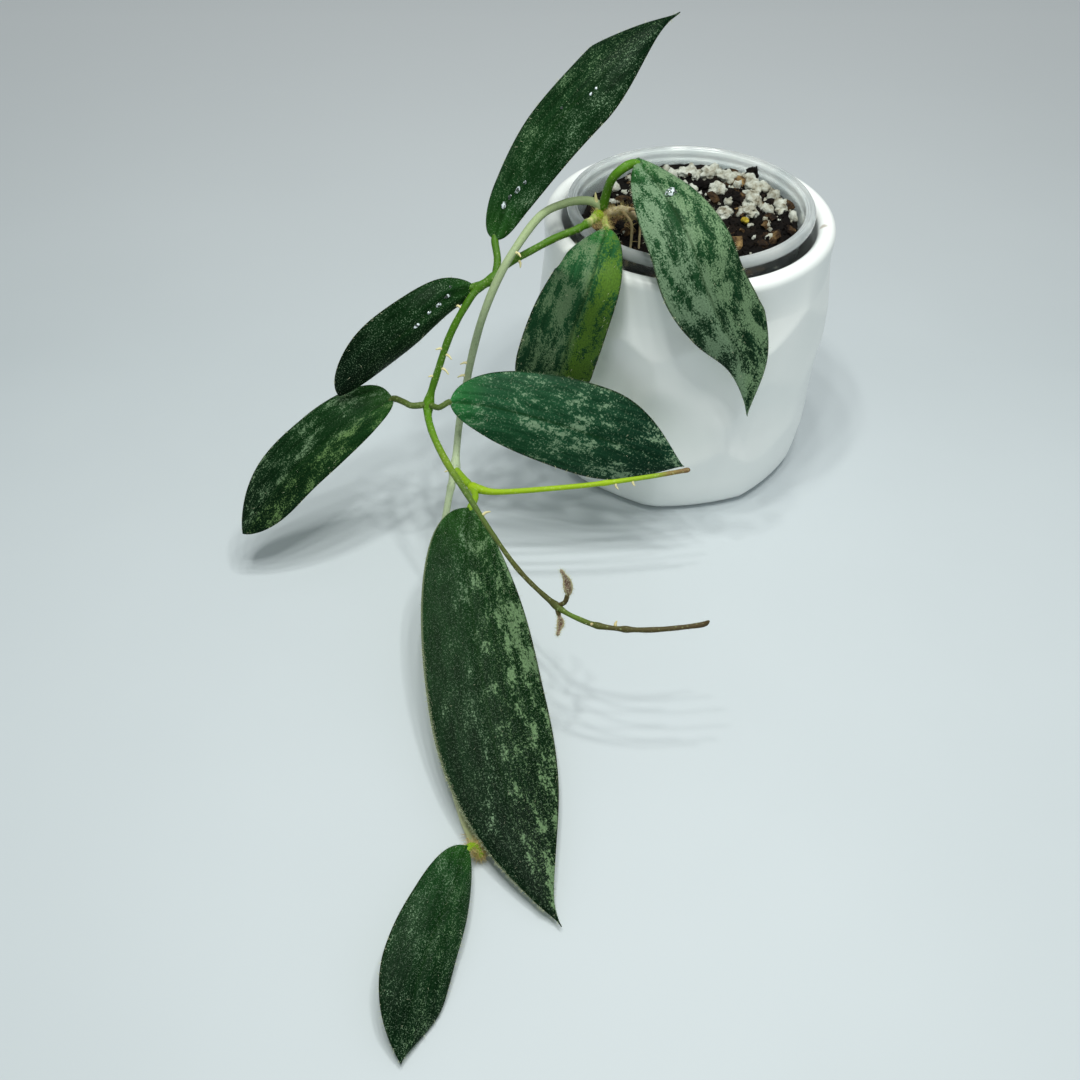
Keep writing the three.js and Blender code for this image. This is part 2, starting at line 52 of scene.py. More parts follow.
# %% [markdown]
# ## Colours and nodes
#
# A colour is written as an sRGB hex value, as on a paint chart, and a socket wants it linear, so
# one function turns it. Another adds a node with its settings and links. A material could also be
# drawn by hand in the node editor. Written like this it reads from top to bottom, as a recipe.


# %% One function for colours, one for nodes
def to_linear(hex_colour):
    channels = [int(hex_colour[i : i + 2], 16) / 255 for i in (1, 3, 5)]
    linear = [c / 12.92 if c <= 0.04045 else ((c + 0.055) / 1.055) ** 2.4 for c in channels]
    return (*linear, 1.0)


def fill(tree, node, inputs):
    """Gives each input a number, a hex colour, a socket, or a node, for its first output in use."""
    for name, value in inputs.items():
        if isinstance(value, bpy.types.Node):
            value = next(output for output in value.outputs if output.enabled)
        if isinstance(value, bpy.types.NodeSocket):
            tree.links.new(value, node.inputs[name])
        else:
            node.inputs[name].default_value = to_linear(value) if isinstance(value, str) else value


def add(tree, kind, *values, stops=(), **named):
    """Adds one node. Its kind may have a second word, for its operation or its type of data.
    `values` go to its inputs in order, `named` to its settings and inputs by name, and `stops`
    are a ramp's places and colours."""
    kind, _, variant = kind.partition(" ")
    node = tree.nodes.new(kind if "Node" in kind else "ShaderNode" + kind)
    if variant:
        setattr(node, "operation" if hasattr(node, "operation") else "data_type", variant)
    inputs = {name: value for name, value in named.items() if name in node.inputs}
    for name, value in named.items():
        if name not in inputs:
            setattr(node, name, value)
    in_use = [number for number, socket in enumerate(node.inputs) if socket.enabled]
    fill(tree, node, {**dict(zip(in_use, values)), **inputs})
    if stops:
        elements = node.color_ramp.elements
        while len(elements) < len(stops):
            elements.new(0.5)
        for element, (position, colour) in zip(elements, stops):
            element.position = position
            element.color = to_linear(colour)
    return node


print("a middle grey, linear:", round(to_linear("#808080")[0], 3))

# %% [markdown]
# ## Light and camera
#
# The plant stands on a pale matt table under a ring of ten small lamps, about 60 cm up. The
# shadows show it: the tip of the vine throws a fan of thin lines on the table, one for each lamp,
# and each leaf a dark core with a striped fringe. One large lamp would be simpler, but would
# throw one soft shadow. A pale room fills the rest. The camera looks down at about 45 degrees.
# "Standard" colours are used, because they keep the glaze as white as it is on the real pot.

# %% Lamps, room and camera
LAMPS, LAMP_WIDTH, LAMP_WATTS, LAMP_COLOUR, RING_RADIUS = 10, 0.03, 0.34, "#fefffb", 0.125
RING_CENTRE = Vector((-0.02, -0.17, 0.62))
ROOM_COLOUR, ROOM_STRENGTH = "#e8f0f0", 0.45
CAMERA_PLACE, CAMERA_TILT = (-0.0546, -0.3649, 0.2938), 45.4
FOCAL_LENGTH, SENSOR_WIDTH = 36, 36
for n in range(LAMPS):
    turn = 2 * math.pi * (n + 0.5) / LAMPS
    light = bpy.data.lights.new("ring_lamp", "AREA")
    light.shape = "DISK"
    light.size = LAMP_WIDTH
    light.energy = LAMP_WATTS
    light.color = to_linear(LAMP_COLOUR)[:3]
    lamp = bpy.data.objects.new("ring_lamp", light)
    lamp.location = RING_CENTRE + RING_RADIUS * Vector((math.cos(turn), math.sin(turn), 0))
    bpy.context.collection.objects.link(lamp)

world = bpy.data.worlds.new("pale_room")
bpy.context.scene.world = world
world.use_nodes = True
background = world.node_tree.nodes["Background"]
fill(world.node_tree, background, {"Color": ROOM_COLOUR, "Strength": ROOM_STRENGTH})

camera_data = bpy.data.cameras.new("camera")
camera_data.lens = FOCAL_LENGTH
camera_data.sensor_width = SENSOR_WIDTH
camera = bpy.data.objects.new("camera", camera_data)
camera.location = CAMERA_PLACE
camera.rotation_euler = (math.radians(CAMERA_TILT), 0, 0)
bpy.context.collection.objects.link(camera)
bpy.context.scene.camera = camera
bpy.context.scene.view_settings.view_transform = "Standard"
print("camera height in mm:", round(camera.location.z / MM))

# %% [markdown]
# ## Meshes from rows of points
#
# Most pieces here are skins through rings of points: a pot is a row of circles, a vine is a row
# of small circles along a path, a leaf is a row of flat ovals along its midrib. Each could be
# modelled by hand, but NumPy works out all the points at once and keeps them in step with the
# solids. One helper closes a row of rings into a mesh, another makes the mesh a piece.


# %% Rings to skins
def ring_faces(rings, sides):
    faces = []
    for a in range((rings - 1) * sides):
        b = a + 1 if (a + 1) % sides else a + 1 - sides
        faces.append((a, b, b + sides, a + sides))
    faces.append(tuple(reversed(range(sides))))
    faces.append(tuple(range((rings - 1) * sides, rings * sides)))
    return faces


def turns_round(sides):
    return np.linspace(0, 2 * math.pi, sides, endpoint=False)


def turned_skin(rings, turns):
    """Points of a turned shape. A ring's radius and height are numbers or one number a turn."""
    return np.vstack([
        np.stack([radius * np.cos(turns), radius * np.sin(turns), height + 0 * turns], 1)
        for radius, height in rings
    ])


def joined(parts):
    """Points and faces of one mesh from several."""
    points, faces = [], []
    for part_points, part_faces in parts:
        faces += [tuple(len(points) + i for i in face) for face in part_faces]
        points += [tuple(point) for point in part_points]
    return points, faces


def new_piece(name, points_mm, faces, material):
    mesh = bpy.data.meshes.new(name)
    mesh.from_pydata((np.asarray(points_mm) * MM).tolist(), [], faces)
    mesh.materials.append(material)
    mesh.polygons.foreach_set("use_smooth", [True] * len(mesh.polygons))
    mesh.update()
    piece = bpy.data.objects.new(name, mesh)
    bpy.context.collection.objects.link(piece)
    return piece


def turned_piece(name, rings, sides, material):
    points = turned_skin(rings, turns_round(sides))
    return new_piece(name, points, ring_faces(len(rings), sides), material)


def give_attribute(piece, name, values, kind="FLOAT"):
    attribute = piece.data.attributes.new(name, kind, "POINT")
    field = "value" if kind == "FLOAT" else "vector"
    attribute.data.foreach_set(field, np.asarray(values, np.float32).ravel())


def finish_piece(piece, slot, *solids):
    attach(piece, "root")
    if solids:
        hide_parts(*solids)
    print(piece.name, "faces:", len(piece.data.polygons))


print("faces of a skin through 3 rings of 8:", len(ring_faces(3, 8)))

# %% [markdown]
# ### Smooth paths
#
# Vines, midribs and the pot's wall all bend softly through a few given points. A Bezier
# curve object would do it too, but here the points are wanted at even distances, or at given
# shares of the length, so the curve is worked out as cubic pieces with matching slopes.


# %% Points and directions along a path
def unit(vectors):
    return vectors / np.maximum(np.linalg.norm(vectors, axis=-1, keepdims=True), 1e-9)


def smooth_path(points, places=None, step=0.7):
    """Points at even steps along a smooth curve, or at the shares of its length in `places`, and
    the distance that each lies from the start."""
    p = np.array(points, float)
    before = np.vstack([2 * p[0] - p[1], p[:-1]])
    after = np.vstack([p[1:], 2 * p[-1] - p[-2]])
    slope = (after - before) / 2
    t = np.linspace(0, 1, 40, endpoint=False)[:, None]
    fine = [
        (2 * t**3 - 3 * t**2 + 1) * p[i]
        + (t**3 - 2 * t**2 + t) * slope[i]
        + (3 * t**2 - 2 * t**3) * p[i + 1]
        + (t**3 - t**2) * slope[i + 1]
        for i in range(len(p) - 1)
    ]
    fine = np.vstack([*fine, p[-1:]])
    run = np.concatenate([[0], np.cumsum(np.linalg.norm(np.diff(fine, axis=0), axis=1))])
    if places is None:
        places = np.linspace(0, 1, max(3, round(run[-1] / step)) + 1)
    where = np.asarray(places) * run[-1]
    return np.stack([np.interp(where, run, column) for column in fine.T], 1), where


def directions(points, places, nudge):
    """Unit vectors along a path, measured over a small nudge either way."""
    ahead, _ = smooth_path(points, np.clip(places + nudge, 0, 1))
    behind, _ = smooth_path(points, np.clip(places - nudge, 0, 1))
    return unit(ahead - behind)


print("points along a 10 mm path:", len(smooth_path([(0, 0), (10, 0)])[0]))

# %% [markdown]
# ## The cover pot
#
# The pot is slip-cast stoneware under a white gloss glaze. Its wall looks pressed in by hand: wide
# scoops in staggered rows that meet in soft ridges. It could be sculpted, but a formula is easier
# to keep in step with the solid. Each scoop is a shallow bowl in the radius, placed by the same
# seeded draw that placed it in the solid, and where two overlap the deeper one wins softly.

# %% Scoops in the pot's wall
POT_HEIGHT, RIM_RADIUS, LIP_RADIUS, POT_FLOOR = 102.6, 53.0, 3.25, 7.0
SCOOP_ROWS, SCOOPS_PER_ROW, SCOOP_DEPTH, SCOOP_REACH, SCOOP_JITTER = 4, 9, 2.4, 21.0, 5.0
SCOOP_SEED, RIDGE_SHARPNESS = 11, 4


def even_draw(state):
    """The same even draw between 0 and 1 that the solid uses."""
    while True:
        state = (state * 16807) % 2147483647
        yield state / 2147483647


def pressed_scoops():
    draw = even_draw(SCOOP_SEED)
    scoops = []
    for row in range(SCOOP_ROWS):
        for n in range(SCOOPS_PER_ROW):
            turn = (n + 0.5 * (row % 2)) / SCOOPS_PER_ROW * 2 * math.pi
            height = (row + 0.5) / SCOOP_ROWS * POT_HEIGHT
            turn += (next(draw) - 0.5) * 2 * SCOOP_JITTER / RIM_RADIUS
            height += (next(draw) - 0.5) * 2 * SCOOP_JITTER
            scoops.append((turn, height, SCOOP_DEPTH * (0.6 + 0.8 * next(draw))))
    return scoops


SCOOPS = pressed_scoops()


def scoop_depth(turns, height):
    total = np.zeros_like(turns)
    for turn, middle, deep in SCOOPS:
        across = np.arctan2(np.sin(turns - turn), np.cos(turns - turn)) * RIM_RADIUS
        away = np.hypot(across, height - middle) / SCOOP_REACH
        total += np.maximum(0, deep * (1 - away**2)) ** RIDGE_SHARPNESS
    return total ** (1 / RIDGE_SHARPNESS)


print("scoops pressed into the wall:", len(SCOOPS))

# %% [markdown]
# ### The pot's profile
#
# The profile runs from the foot up the outside, over the thick rolled lip and down the plain
# inner wall. The scoops fade out below the lip and under the foot, so the pot stands level and
# its lip stays round.

# %% Rings of the pot: radius and height in millimetres
POT_FOOT = [(0.5, 0), (30, 0), (45.8, 0), (47.3, 0.15), (48.9, 0.7)]
POT_WALL = [(50.2, 1.6), (52.4, 5), (53.9, 11), (54.7, 18), (55.3, 26), (55.6, 34), (55.8, 42),
            (55.8, 50), (55.8, 58), (55.7, 66), (55.4, 74), (54.9, 82), (54.1, 90)]
POT_SIDES, FADE_BELOW_LIP, FADE_INSIDE, FADE_WIDTH = 192, 14.0, 30, 15


def pot_rings(turns):
    lip_height = POT_HEIGHT - LIP_RADIUS
    lip_middle = RIM_RADIUS - LIP_RADIUS
    inner = RIM_RADIUS - 2 * LIP_RADIUS
    wall, _ = smooth_path([*POT_WALL, (RIM_RADIUS, lip_height)])
    outside = []
    for radius, height in [*POT_FOOT, *wall]:
        fade = min(1, max(0, (lip_height - height) / FADE_BELOW_LIP))
        fade *= min(1, max(0, radius - FADE_INSIDE) / FADE_WIDTH)
        outside.append((radius - scoop_depth(turns, height) * fade, height))
    lip = [
        (lip_middle + LIP_RADIUS * math.cos(a), lip_height + LIP_RADIUS * math.sin(a))
        for a in np.linspace(0, math.pi, 15)[1:]
    ]
    down = [(inner, 96), (inner, 60), (inner - 0.8, 24), (inner - 3.5, 11), (inner - 8, POT_FLOOR)]
    inside, _ = smooth_path(down, step=3)
    return [*outside, *lip, *inside, (20, POT_FLOOR), (0.5, POT_FLOOR)]


pot_profile = pot_rings(turns_round(POT_SIDES))
print("rings of the pot:", len(pot_profile))

# %% [markdown]
# ### White glaze
#
# Fired glaze is a thin coat of glass over pale clay: an IOR of about 1.5, smooth, with soft
# unevenness where it flowed. What the eye sees is a bluish white, a soft bright reflection, and
# here two small marks near the lip: a pale tan stain and a brown smudge of wet mix. The flow
# changes over about 35 mm, the fine unevenness of the skin over about 4 mm.

# %% Glazed stoneware
MARKS_ON_LIP = [  # centre and radius in metres, raggedness, strength, colour
    ((0.0319, -0.0305, 0.101), 0.0026, 0.6, 0.3, "#c9b48c"),
    ((0.0473, -0.0105, 0.1015), 0.0022, 0.4, 0.6, "#8a7350"),
]


def new_material(name):
    material = bpy.data.materials.new(name)
    material.use_nodes = True
    tree = material.node_tree
    return material, tree, tree.nodes["Principled BSDF"]


glaze, tree, shader = new_material("white_glazed_stoneware")
place = add(tree, "TexCoord").outputs["Object"]
flow = add(tree, "TexNoise", place, 28, 2)
colour = add(tree, "ValToRGB", flow, stops=[(0.35, "#f0f5f3"), (0.7, "#f8fbf9")])
for centre, radius, ragged, strength, mark_colour in MARKS_ON_LIP:
    ripple = add(tree, "TexNoise", place, 1.4 / radius, 4)
    away = add(tree, "VectorMath DISTANCE", place, centre)
    reach = add(tree, "Math MULTIPLY", ripple, radius * ragged * 2)
    total = add(tree, "Math ADD", away, reach)
    mark = add(tree, "MapRange", total, radius * 1.25, radius * 0.8)
    amount = add(tree, "Math MULTIPLY", mark, strength)
    colour = add(tree, "Mix RGBA", amount, colour, mark_colour)
peel = add(tree, "TexNoise", place, 260, 1)
bump = add(tree, "Bump", Height=peel, Strength=0.04, Distance=1 * MM)
fill(tree, shader, {"Base Color": colour, "Roughness": 0.34, "IOR": 1.5, "Coat Weight": 0.2,
                    "Coat Roughness": 0.2, "Normal": bump})
cover_pot = turned_piece("cover_pot", pot_profile, POT_SIDES, glaze)
finish_piece(cover_pot, "glaze", "ceramic_pot")

# %% [markdown]
# ## The clear growing cup
#
# Inside the cover pot stands a thin vacuum-formed cup of clear polypropylene with a rolled rim.
# Clear plastic of this kind is a little milky: light passes, but softly. The rim is thicker, so
# it shows as a pale grey band with a bright line on it. A turned profile is the whole shape.

# %% The cup's profile
CUP_RIM, CUP_NECK, CUP_BASE, CUP_WALL, CUP_HEIGHT, CUP_BEAD = 45.0, 41.4, 34.0, 1.2, 100.1, 3.6
CUP_BOTTOM = POT_FLOOR + 0.3
CUP_TOP = CUP_BOTTOM + CUP_HEIGHT
BEAD_BOTTOM = CUP_TOP - CUP_BEAD
INNER_NECK = CUP_NECK - CUP_WALL
CUP_SIDES = 128
ROLL = [(0.15, 1.2), (0.7, 0.4), (1.3, 0.05), (1.8, 0), (2.1, 0.3), (2.4, 0.8), (2.8, 0.85),
        (3.1, 0.5), (3.5, 0.6), (3.8, 1.2)]  # the rolled rim, inwards and down from its corner
CUP_PROFILE = [
    (0.5, CUP_BOTTOM), (CUP_BASE, CUP_BOTTOM), (CUP_BASE + 0.8, CUP_BOTTOM + 1.5),
    (CUP_NECK - 1.6, BEAD_BOTTOM - 12), (CUP_NECK, BEAD_BOTTOM - 10),
    (CUP_NECK + 0.4, BEAD_BOTTOM - 0.3), (CUP_NECK + 1.4, BEAD_BOTTOM - 0.1),
    (CUP_RIM - 0.8, BEAD_BOTTOM - 0.3), (CUP_RIM - 0.2, BEAD_BOTTOM + 0.3),
    (CUP_RIM, BEAD_BOTTOM + 1.2), *[(CUP_RIM - inwards, CUP_TOP - down) for inwards, down in ROLL],
    (INNER_NECK + 0.9, CUP_TOP - 2.4), (INNER_NECK + 0.4, BEAD_BOTTOM),
    (INNER_NECK, BEAD_BOTTOM - 10), (INNER_NECK - 1.6, BEAD_BOTTOM - 12),
    (CUP_BASE - CUP_WALL + 0.8, CUP_BOTTOM + 1.8 + CUP_WALL),
    (CUP_BASE - CUP_WALL - 0.4, CUP_BOTTOM + CUP_WALL), (0.5, CUP_BOTTOM + CUP_WALL),
]
print("top of the cup in mm:", round(CUP_TOP, 1))

# %% [markdown]
# ### Clear polypropylene
#
# The wall lets most light through. The rolled rim lets through less, because it is thick and a
# little scuffed, so the height of a point says how clear it is. Its clouds are about 11 mm wide.

# %% Clear plastic
RIM_STARTS, RIM_FULL = 0.1025, 0.1035
clear_plastic, tree, shader = new_material("clear_polypropylene")
place = add(tree, "TexCoord").outputs["Object"]
cloud = add(tree, "TexNoise", place, 90, 3)
colour = add(tree, "ValToRGB", cloud, stops=[(0.35, "#dde5e6"), (0.75, "#f6faf9")])
height = add(tree, "SeparateXYZ", place).outputs["Z"]
clear = add(tree, "MapRange", height, RIM_STARTS, RIM_FULL, 0.9, 0.55)
fill(tree, shader, {"Base Color": colour, "Transmission Weight": clear, "Roughness": 0.16,
                    "IOR": 1.49})
clear_cup = turned_piece("clear_cup", CUP_PROFILE, CUP_SIDES, clear_plastic)
finish_piece(clear_cup, "clear_plastic", "growing_cup")

# %% [markdown]
# ## The mix
#
# The cup is filled with a dark, open mix: composted bark, coir, and pale perlite, which has
# gathered at the back right. Wet compost is near black with brown flecks, dry bark tan to dark
# brown and fibrous, perlite a chalky white stained by the wet. All are dull. A small noise on a
# ramp of three or four colours gives such a mixture without any picture.


# %% Earthy skins
def earthy_material(name, colours, roughness, scale):
    """A rough skin whose colour changes from grain to grain and within one."""
    material, tree, shader = new_material(name)
    place = add(tree, "TexCoord").outputs["Object"]
    patch = add(tree, "TexNoise", place, scale, 5, 0.65)
    gap = 0.4 / (len(colours) - 1)
    stops = [(0.3 + gap * n, colour) for n, colour in enumerate(colours)]
    colour = add(tree, "ValToRGB", patch, stops=stops)
    grit = add(tree, "TexNoise", place, scale * 6, 6)
    bump = add(tree, "Bump", Height=grit, Strength=0.6, Distance=0.6 * MM)
    fill(tree, shader, {"Base Color": colour, "Roughness": roughness, "Specular IOR Level": 0.15,
                        "Normal": bump})
    return material


# the scales stand for patches of about 4.5, 7, 4 and 2.5 mm
wet_mix = earthy_material("wet_composted_mix", ["#050404", "#0d0a08", "#1d1610"], 0.9, 220)
bark_colours = ["#0c0907", "#1c140f", "#4a3823", "#9a8054"]
bark_chip_skin = earthy_material("dry_pine_bark", bark_colours, 0.8, 150)
perlite_colours = ["#5d5340", "#a09f8f", "#bfc3b8", "#d4d8cf"]
perlite_skin = earthy_material("expanded_perlite", perlite_colours, 0.75, 260)
pellet_colours = ["#6d5e1c", "#a8942c", "#cdb94a"]
pellet_skin = earthy_material("slow_release_pellet", pellet_colours, 0.6, 400)
print("materials so far:", len(bpy.data.materials))

# %% [markdown]
# ### The bulk of the mix
#
# One uneven skin is the bulk: a turned body whose top rises towards the back and is roughened by
# two noises. Two attributes say where grains may lie: everywhere on top, or only in the pale
# zone at the back right.

# %% The bulk and its zones
MIX_EDGE = INNER_NECK - 0.6
MIX_FOOT = CUP_BASE - 1.2
MIX_SIDES, SIDE_RINGS, TOP_RINGS = 120, 15, 44
MIX_LEVEL, MIX_TOP_STARTS = 97.5, 91.5


def mix_rings(turns):
    low = CUP_BOTTOM + CUP_WALL + 0.3
    high = BEAD_BOTTOM - 13
    rings = [(0.5, low), (MIX_FOOT - 1, low), (MIX_FOOT, low + 2.2)]
    for share in np.linspace(0, 1, SIDE_RINGS + 1)[1:]:
        radius = MIX_FOOT + (MIX_EDGE - MIX_FOOT) * share
        rings.append((radius, low + 2.2 + (high - low - 2.2) * share))
    for ring in range(TOP_RINGS, 0, -1):
        radius = MIX_EDGE * ring / TOP_RINGS
        x, y = radius * np.cos(turns), radius * np.sin(turns)
        coarse = np.sin(0.5 * x + 2 * np.sin(0.31 * y)) + np.cos(0.62 * y - 0.4 * x)
        rough = [0.9 * noise.noise((a * 0.45, b * 0.45, 3)) + 0.4 * noise.noise((a, b, 7))
                 for a, b in zip(x, y)]
        level = MIX_LEVEL + 0.04 * x + 0.1 * y + 0.45 * coarse
        rings.append((radius, level + np.array(rough)))
    return rings


mix_profile = mix_rings(turns_round(MIX_SIDES))
mix_body = turned_piece("mix_body", mix_profile, MIX_SIDES, wet_mix)
x, y, z = turned_skin(mix_profile, turns_round(MIX_SIDES)).T
on_top = (z > MIX_TOP_STARTS) * (np.hypot(x, y) < MIX_EDGE - 1.2)
patches = np.array([noise.noise((a * 0.17, b * 0.17, 5)) for a, b in zip(x, y)])
pale_zone = np.clip((y + 0.4 * x - 6) / 10, 0, 1) * np.clip((patches + 0.2) * 4, 0, 1)
give_attribute(mix_body, "pale_zone", pale_zone * on_top)
give_attribute(mix_body, "top", on_top)
print("points that grains may lie on:", int(on_top.sum()))

# %% [markdown]
# ### A tree that scatters
#
# Hundreds of grains lie at random on the mix, and thousands of hairs stand on the leaves. Both are
# one shape, repeated, so Geometry Nodes place them: points on the faces, an instance on each, then
# real mesh with a skin. Two functions build what a tree for grains and a tree for hairs have in
# common, and a third runs a tree on a piece and keeps the result as a plain mesh.

# %% What both scattering trees share
SHARED_INPUTS = {"Where": "String", "Per square metre": "Float", "Tilt": "Float", "Seed": "Int",
                 "Skin": "Material"}


def start_tree(name, own_inputs):
    """A new tree with named inputs and the points that it spreads."""
    tree = bpy.data.node_groups.new(name, "GeometryNodeTree")
    for direction in ("OUTPUT", "INPUT"):
        tree.interface.new_socket("Geometry", in_out=direction, socket_type="NodeSocketGeometry")
    for socket, kind in {**SHARED_INPUTS, **own_inputs}.items():
        tree.interface.new_socket(socket, in_out="INPUT", socket_type="NodeSocket" + kind)
    given = add(tree, "NodeGroupInput").outputs
    where = add(tree, "GeometryNodeInputNamedAttribute", Name=given["Where"])
    density = add(tree, "Math MULTIPLY", where, given["Per square metre"])
    spread = add(tree, "GeometryNodeDistributePointsOnFaces", given["Geometry"], Density=density,
                 Seed=given["Seed"])
    return tree, given, spread


def end_tree(tree, given, spread, shape, turn, scale):
    placed = add(tree, "GeometryNodeInstanceOnPoints", spread, Instance=shape, Rotation=turn,
                 Scale=scale)
    real = add(tree, "GeometryNodeRealizeInstances", placed)
    dressed = add(tree, "GeometryNodeSetMaterial", real, Material=given["Skin"])
    add(tree, "NodeGroupOutput", dressed)
    return tree


def grow(tree, base, name, settings):
    """Runs a tree on `base` and keeps what it makes as a plain mesh."""
    modifier = base.modifiers.new(tree.name, "NODES")
    modifier.node_group = tree
    for socket in tree.interface.items_tree:
        if socket.name in settings:
            modifier[socket.identifier] = settings[socket.name]
    evaluated = base.evaluated_get(bpy.context.evaluated_depsgraph_get())
    mesh = bpy.data.meshes.new_from_object(evaluated)
    base.modifiers.remove(modifier)
    mesh.name = name
    grown = bpy.data.objects.new(name, mesh)
    bpy.context.collection.objects.link(grown)
    return grown


print("inputs that both trees share:", len(SHARED_INPUTS))

# %% [markdown]
# ### Grains
#
# Bark comes as flat chips, perlite as round puffed beads, the rest as crumbs. One lumpy ball of a
# few dozen faces stands for each, because there are many. Small grains are drawn more often than
# large ones: the even draw is squared.


# %% One grain of each kind, and the scattering
def grain_tree():
    own = {"Grain": "Object", "Smallest": "Float", "Largest": "Float", "Flatness": "Float"}
    tree, given, spread = start_tree("scatter_grains", own)
    draw = add(tree, "FunctionNodeRandomValue", 0.0, 1.0, Seed=given["Seed"])
    small_often = add(tree, "Math POWER", draw, 2.0)
    size = add(tree, "MapRange", small_often, 0.0, 1.0, given["Smallest"], given["Largest"])
    slim = add(tree, "FunctionNodeRandomValue", 0.55, 1.0, Seed=given["Seed"])
    flat = add(tree, "CombineXYZ", 1.0, slim, given["Flatness"])
    scale = add(tree, "VectorMath SCALE", flat, size)
    low = add(tree, "Math MULTIPLY", given["Tilt"], -1.0)
    least = add(tree, "CombineXYZ", low, low, 0.0)
    most = add(tree, "CombineXYZ", given["Tilt"], given["Tilt"], 6.2832)
    turn = add(tree, "FunctionNodeRandomValue FLOAT_VECTOR", least, most, Seed=given["Seed"])
    grain = add(tree, "GeometryNodeObjectInfo", given["Grain"]).outputs["Geometry"]
    return end_tree(tree, given, spread, grain, turn, scale)


def lumpy_ball(name, subdivisions, roughness, seed, smooth):
    """A ball with lumps. Its radius is one millimetre."""
    bpy.ops.mesh.primitive_ico_sphere_add(subdivisions=subdivisions, radius=MM)
    ball = bpy.context.object
    ball.name = name
    for vertex in ball.data.vertices:
        push = noise.noise(vertex.co / MM * 1.3 + Vector((seed, 0, 0)))
        vertex.co *= 1 + roughness * push
    ball.data.polygons.foreach_set("use_smooth", [smooth] * len(ball.data.polygons))
    ball.hide_render = True
    return ball


scatter_grains = grain_tree()
chip = lumpy_ball("bark_chip_shape", 2, 0.8, 4, False)
bead = lumpy_ball("perlite_shape", 2, 0.7, 9, True)
crumb = lumpy_ball("crumb_shape", 1, 0.8, 2, False)
GRAIN_INPUTS = ("Grain", "Where", "Per square metre", "Smallest", "Largest", "Flatness", "Tilt",
                "Seed", "Skin")  # smallest and largest radius in millimetres
GRAINS = {
    "mix_bark": (chip, "top", 22000.0, 0.9, 3.6, 0.5, 0.7, 3, bark_chip_skin),
    "mix_perlite": (bead, "pale_zone", 110000.0, 0.5, 2.8, 0.8, 3.1, 8, perlite_skin),
    "mix_perlite_few": (bead, "top", 12000.0, 0.4, 1.7, 0.85, 3.1, 15, perlite_skin),
    "mix_crumbs": (crumb, "top", 320000.0, 0.3, 1.3, 0.8, 3.1, 21, wet_mix),
}
grain_pieces = [
    grow(scatter_grains, mix_body, name, dict(zip(GRAIN_INPUTS, values)))
    for name, values in GRAINS.items()
]
for shape in (chip, bead, crumb):
    bpy.data.objects.remove(shape)
finish_piece(mix_body, "potting_mix", "potting_mix")
for piece in grain_pieces:
    finish_piece(piece, "potting_mix")

# %% [markdown]
# ### Larger lumps
#
# The lumps that stand out have places of their own, so these are listed one by one, not scattered.
# Each is a ball pushed in and out by a fractal noise, because a broken grain has lumps on its lumps.

# %% Lumps: centre and half sizes in millimetres, turn in degrees
PALE_LUMPS = [
    ((26.5, 22, 101.6), (3.0, 5.4, 2.2), 12), ((25, 13, 100.6), (3.3, 5.6, 2.4), 6),
    ((23, 5.5, 99.6), (2.8, 4.4, 2.2), 14), ((3.5, 32, 101.6), (4.6, 2.8, 2.2), 0),
    ((11, 31.5, 101.9), (4.8, 3.0, 2.6), 20), ((18, 28, 101.8), (4.4, 3.2, 2.4), -25),
    ((13, 21.5, 100.8), (2.6, 3.6, 2.0), 30), ((35, 8, 100.2), (2.6, 4.6, 1.8), -8),
    ((13.5, 5, 99), (3.0, 3.2, 2.0), 0), ((28, -11.5, 98.2), (1.7, 1.3, 1.2), 20),
    ((-27.5, 15.5, 98.2), (1.5, 1.2, 1.0), 0), ((-9, 33, 100.6), (3.4, 2.2, 1.8), 10),
]
DARK_LUMPS = [((27, 28.5, 103), (2.6, 2.0, 2.6), 30), ((7, 24, 101), (3.0, 2.2, 1.6), 0),
              ((19, 14.5, 100.2), (2.6, 3.0, 1.8), 40), ((-14, 24, 99.6), (3.4, 2.4, 2.0), 0)]
PELLETS = [((20.5, -1, 99.4), (1.6, 1.3, 1.2), 20)]
LUMP_ROWS, LUMP_SIDES = 22, 30


def lump_piece(name, lumps, ragged, skin):
    down = np.linspace(0.02, math.pi - 0.02, LUMP_ROWS)
    a, b = np.meshgrid(down, turns_round(LUMP_SIDES), indexing="ij")
    ball = np.stack([np.sin(a) * np.cos(b), np.sin(a) * np.sin(b), -np.cos(a)], -1).reshape(-1, 3)
    parts = []
    for number, (centre, half_sizes, degrees) in enumerate(lumps):
        turn = Matrix.Rotation(math.radians(degrees), 3, "Z")
        points = []
        for place in ball:
            sized = Vector(place * half_sizes)
            push = noise.fractal(sized * 0.55 + Vector((9.0 * number, 0, 0)), 0.8, 2.0, 4)
            points.append(Vector(centre) + turn @ (sized * (1 + ragged * push)))
        parts.append((points, ring_faces(LUMP_ROWS, LUMP_SIDES)))
    finish_piece(new_piece(name, *joined(parts), skin), "potting_mix")


lump_piece("mix_pale_lumps", PALE_LUMPS, 0.45, perlite_skin)
lump_piece("mix_dark_lumps", DARK_LUMPS, 0.5, wet_mix)
lump_piece("mix_pellet", PELLETS, 0.3, pellet_skin)

# %% [markdown]
# ## Stems
#
# All stems share one helper. A stem is a skin of small rings along a smooth path, and its radius
# swells at every leaf joint, as the real one does. A bevelled curve would be quicker, but a skin
# of our own can carry two attributes to the materials: how far along the stem a point is, and
# which way round.

# %% Stems from routes
END_RINGS = np.array([0.0, 0.04, 0.15, 0.35, 0.65])  # of a rounded end, as shares of its radius
STEM_SIDES, STEM_STEP = 18, 0.7


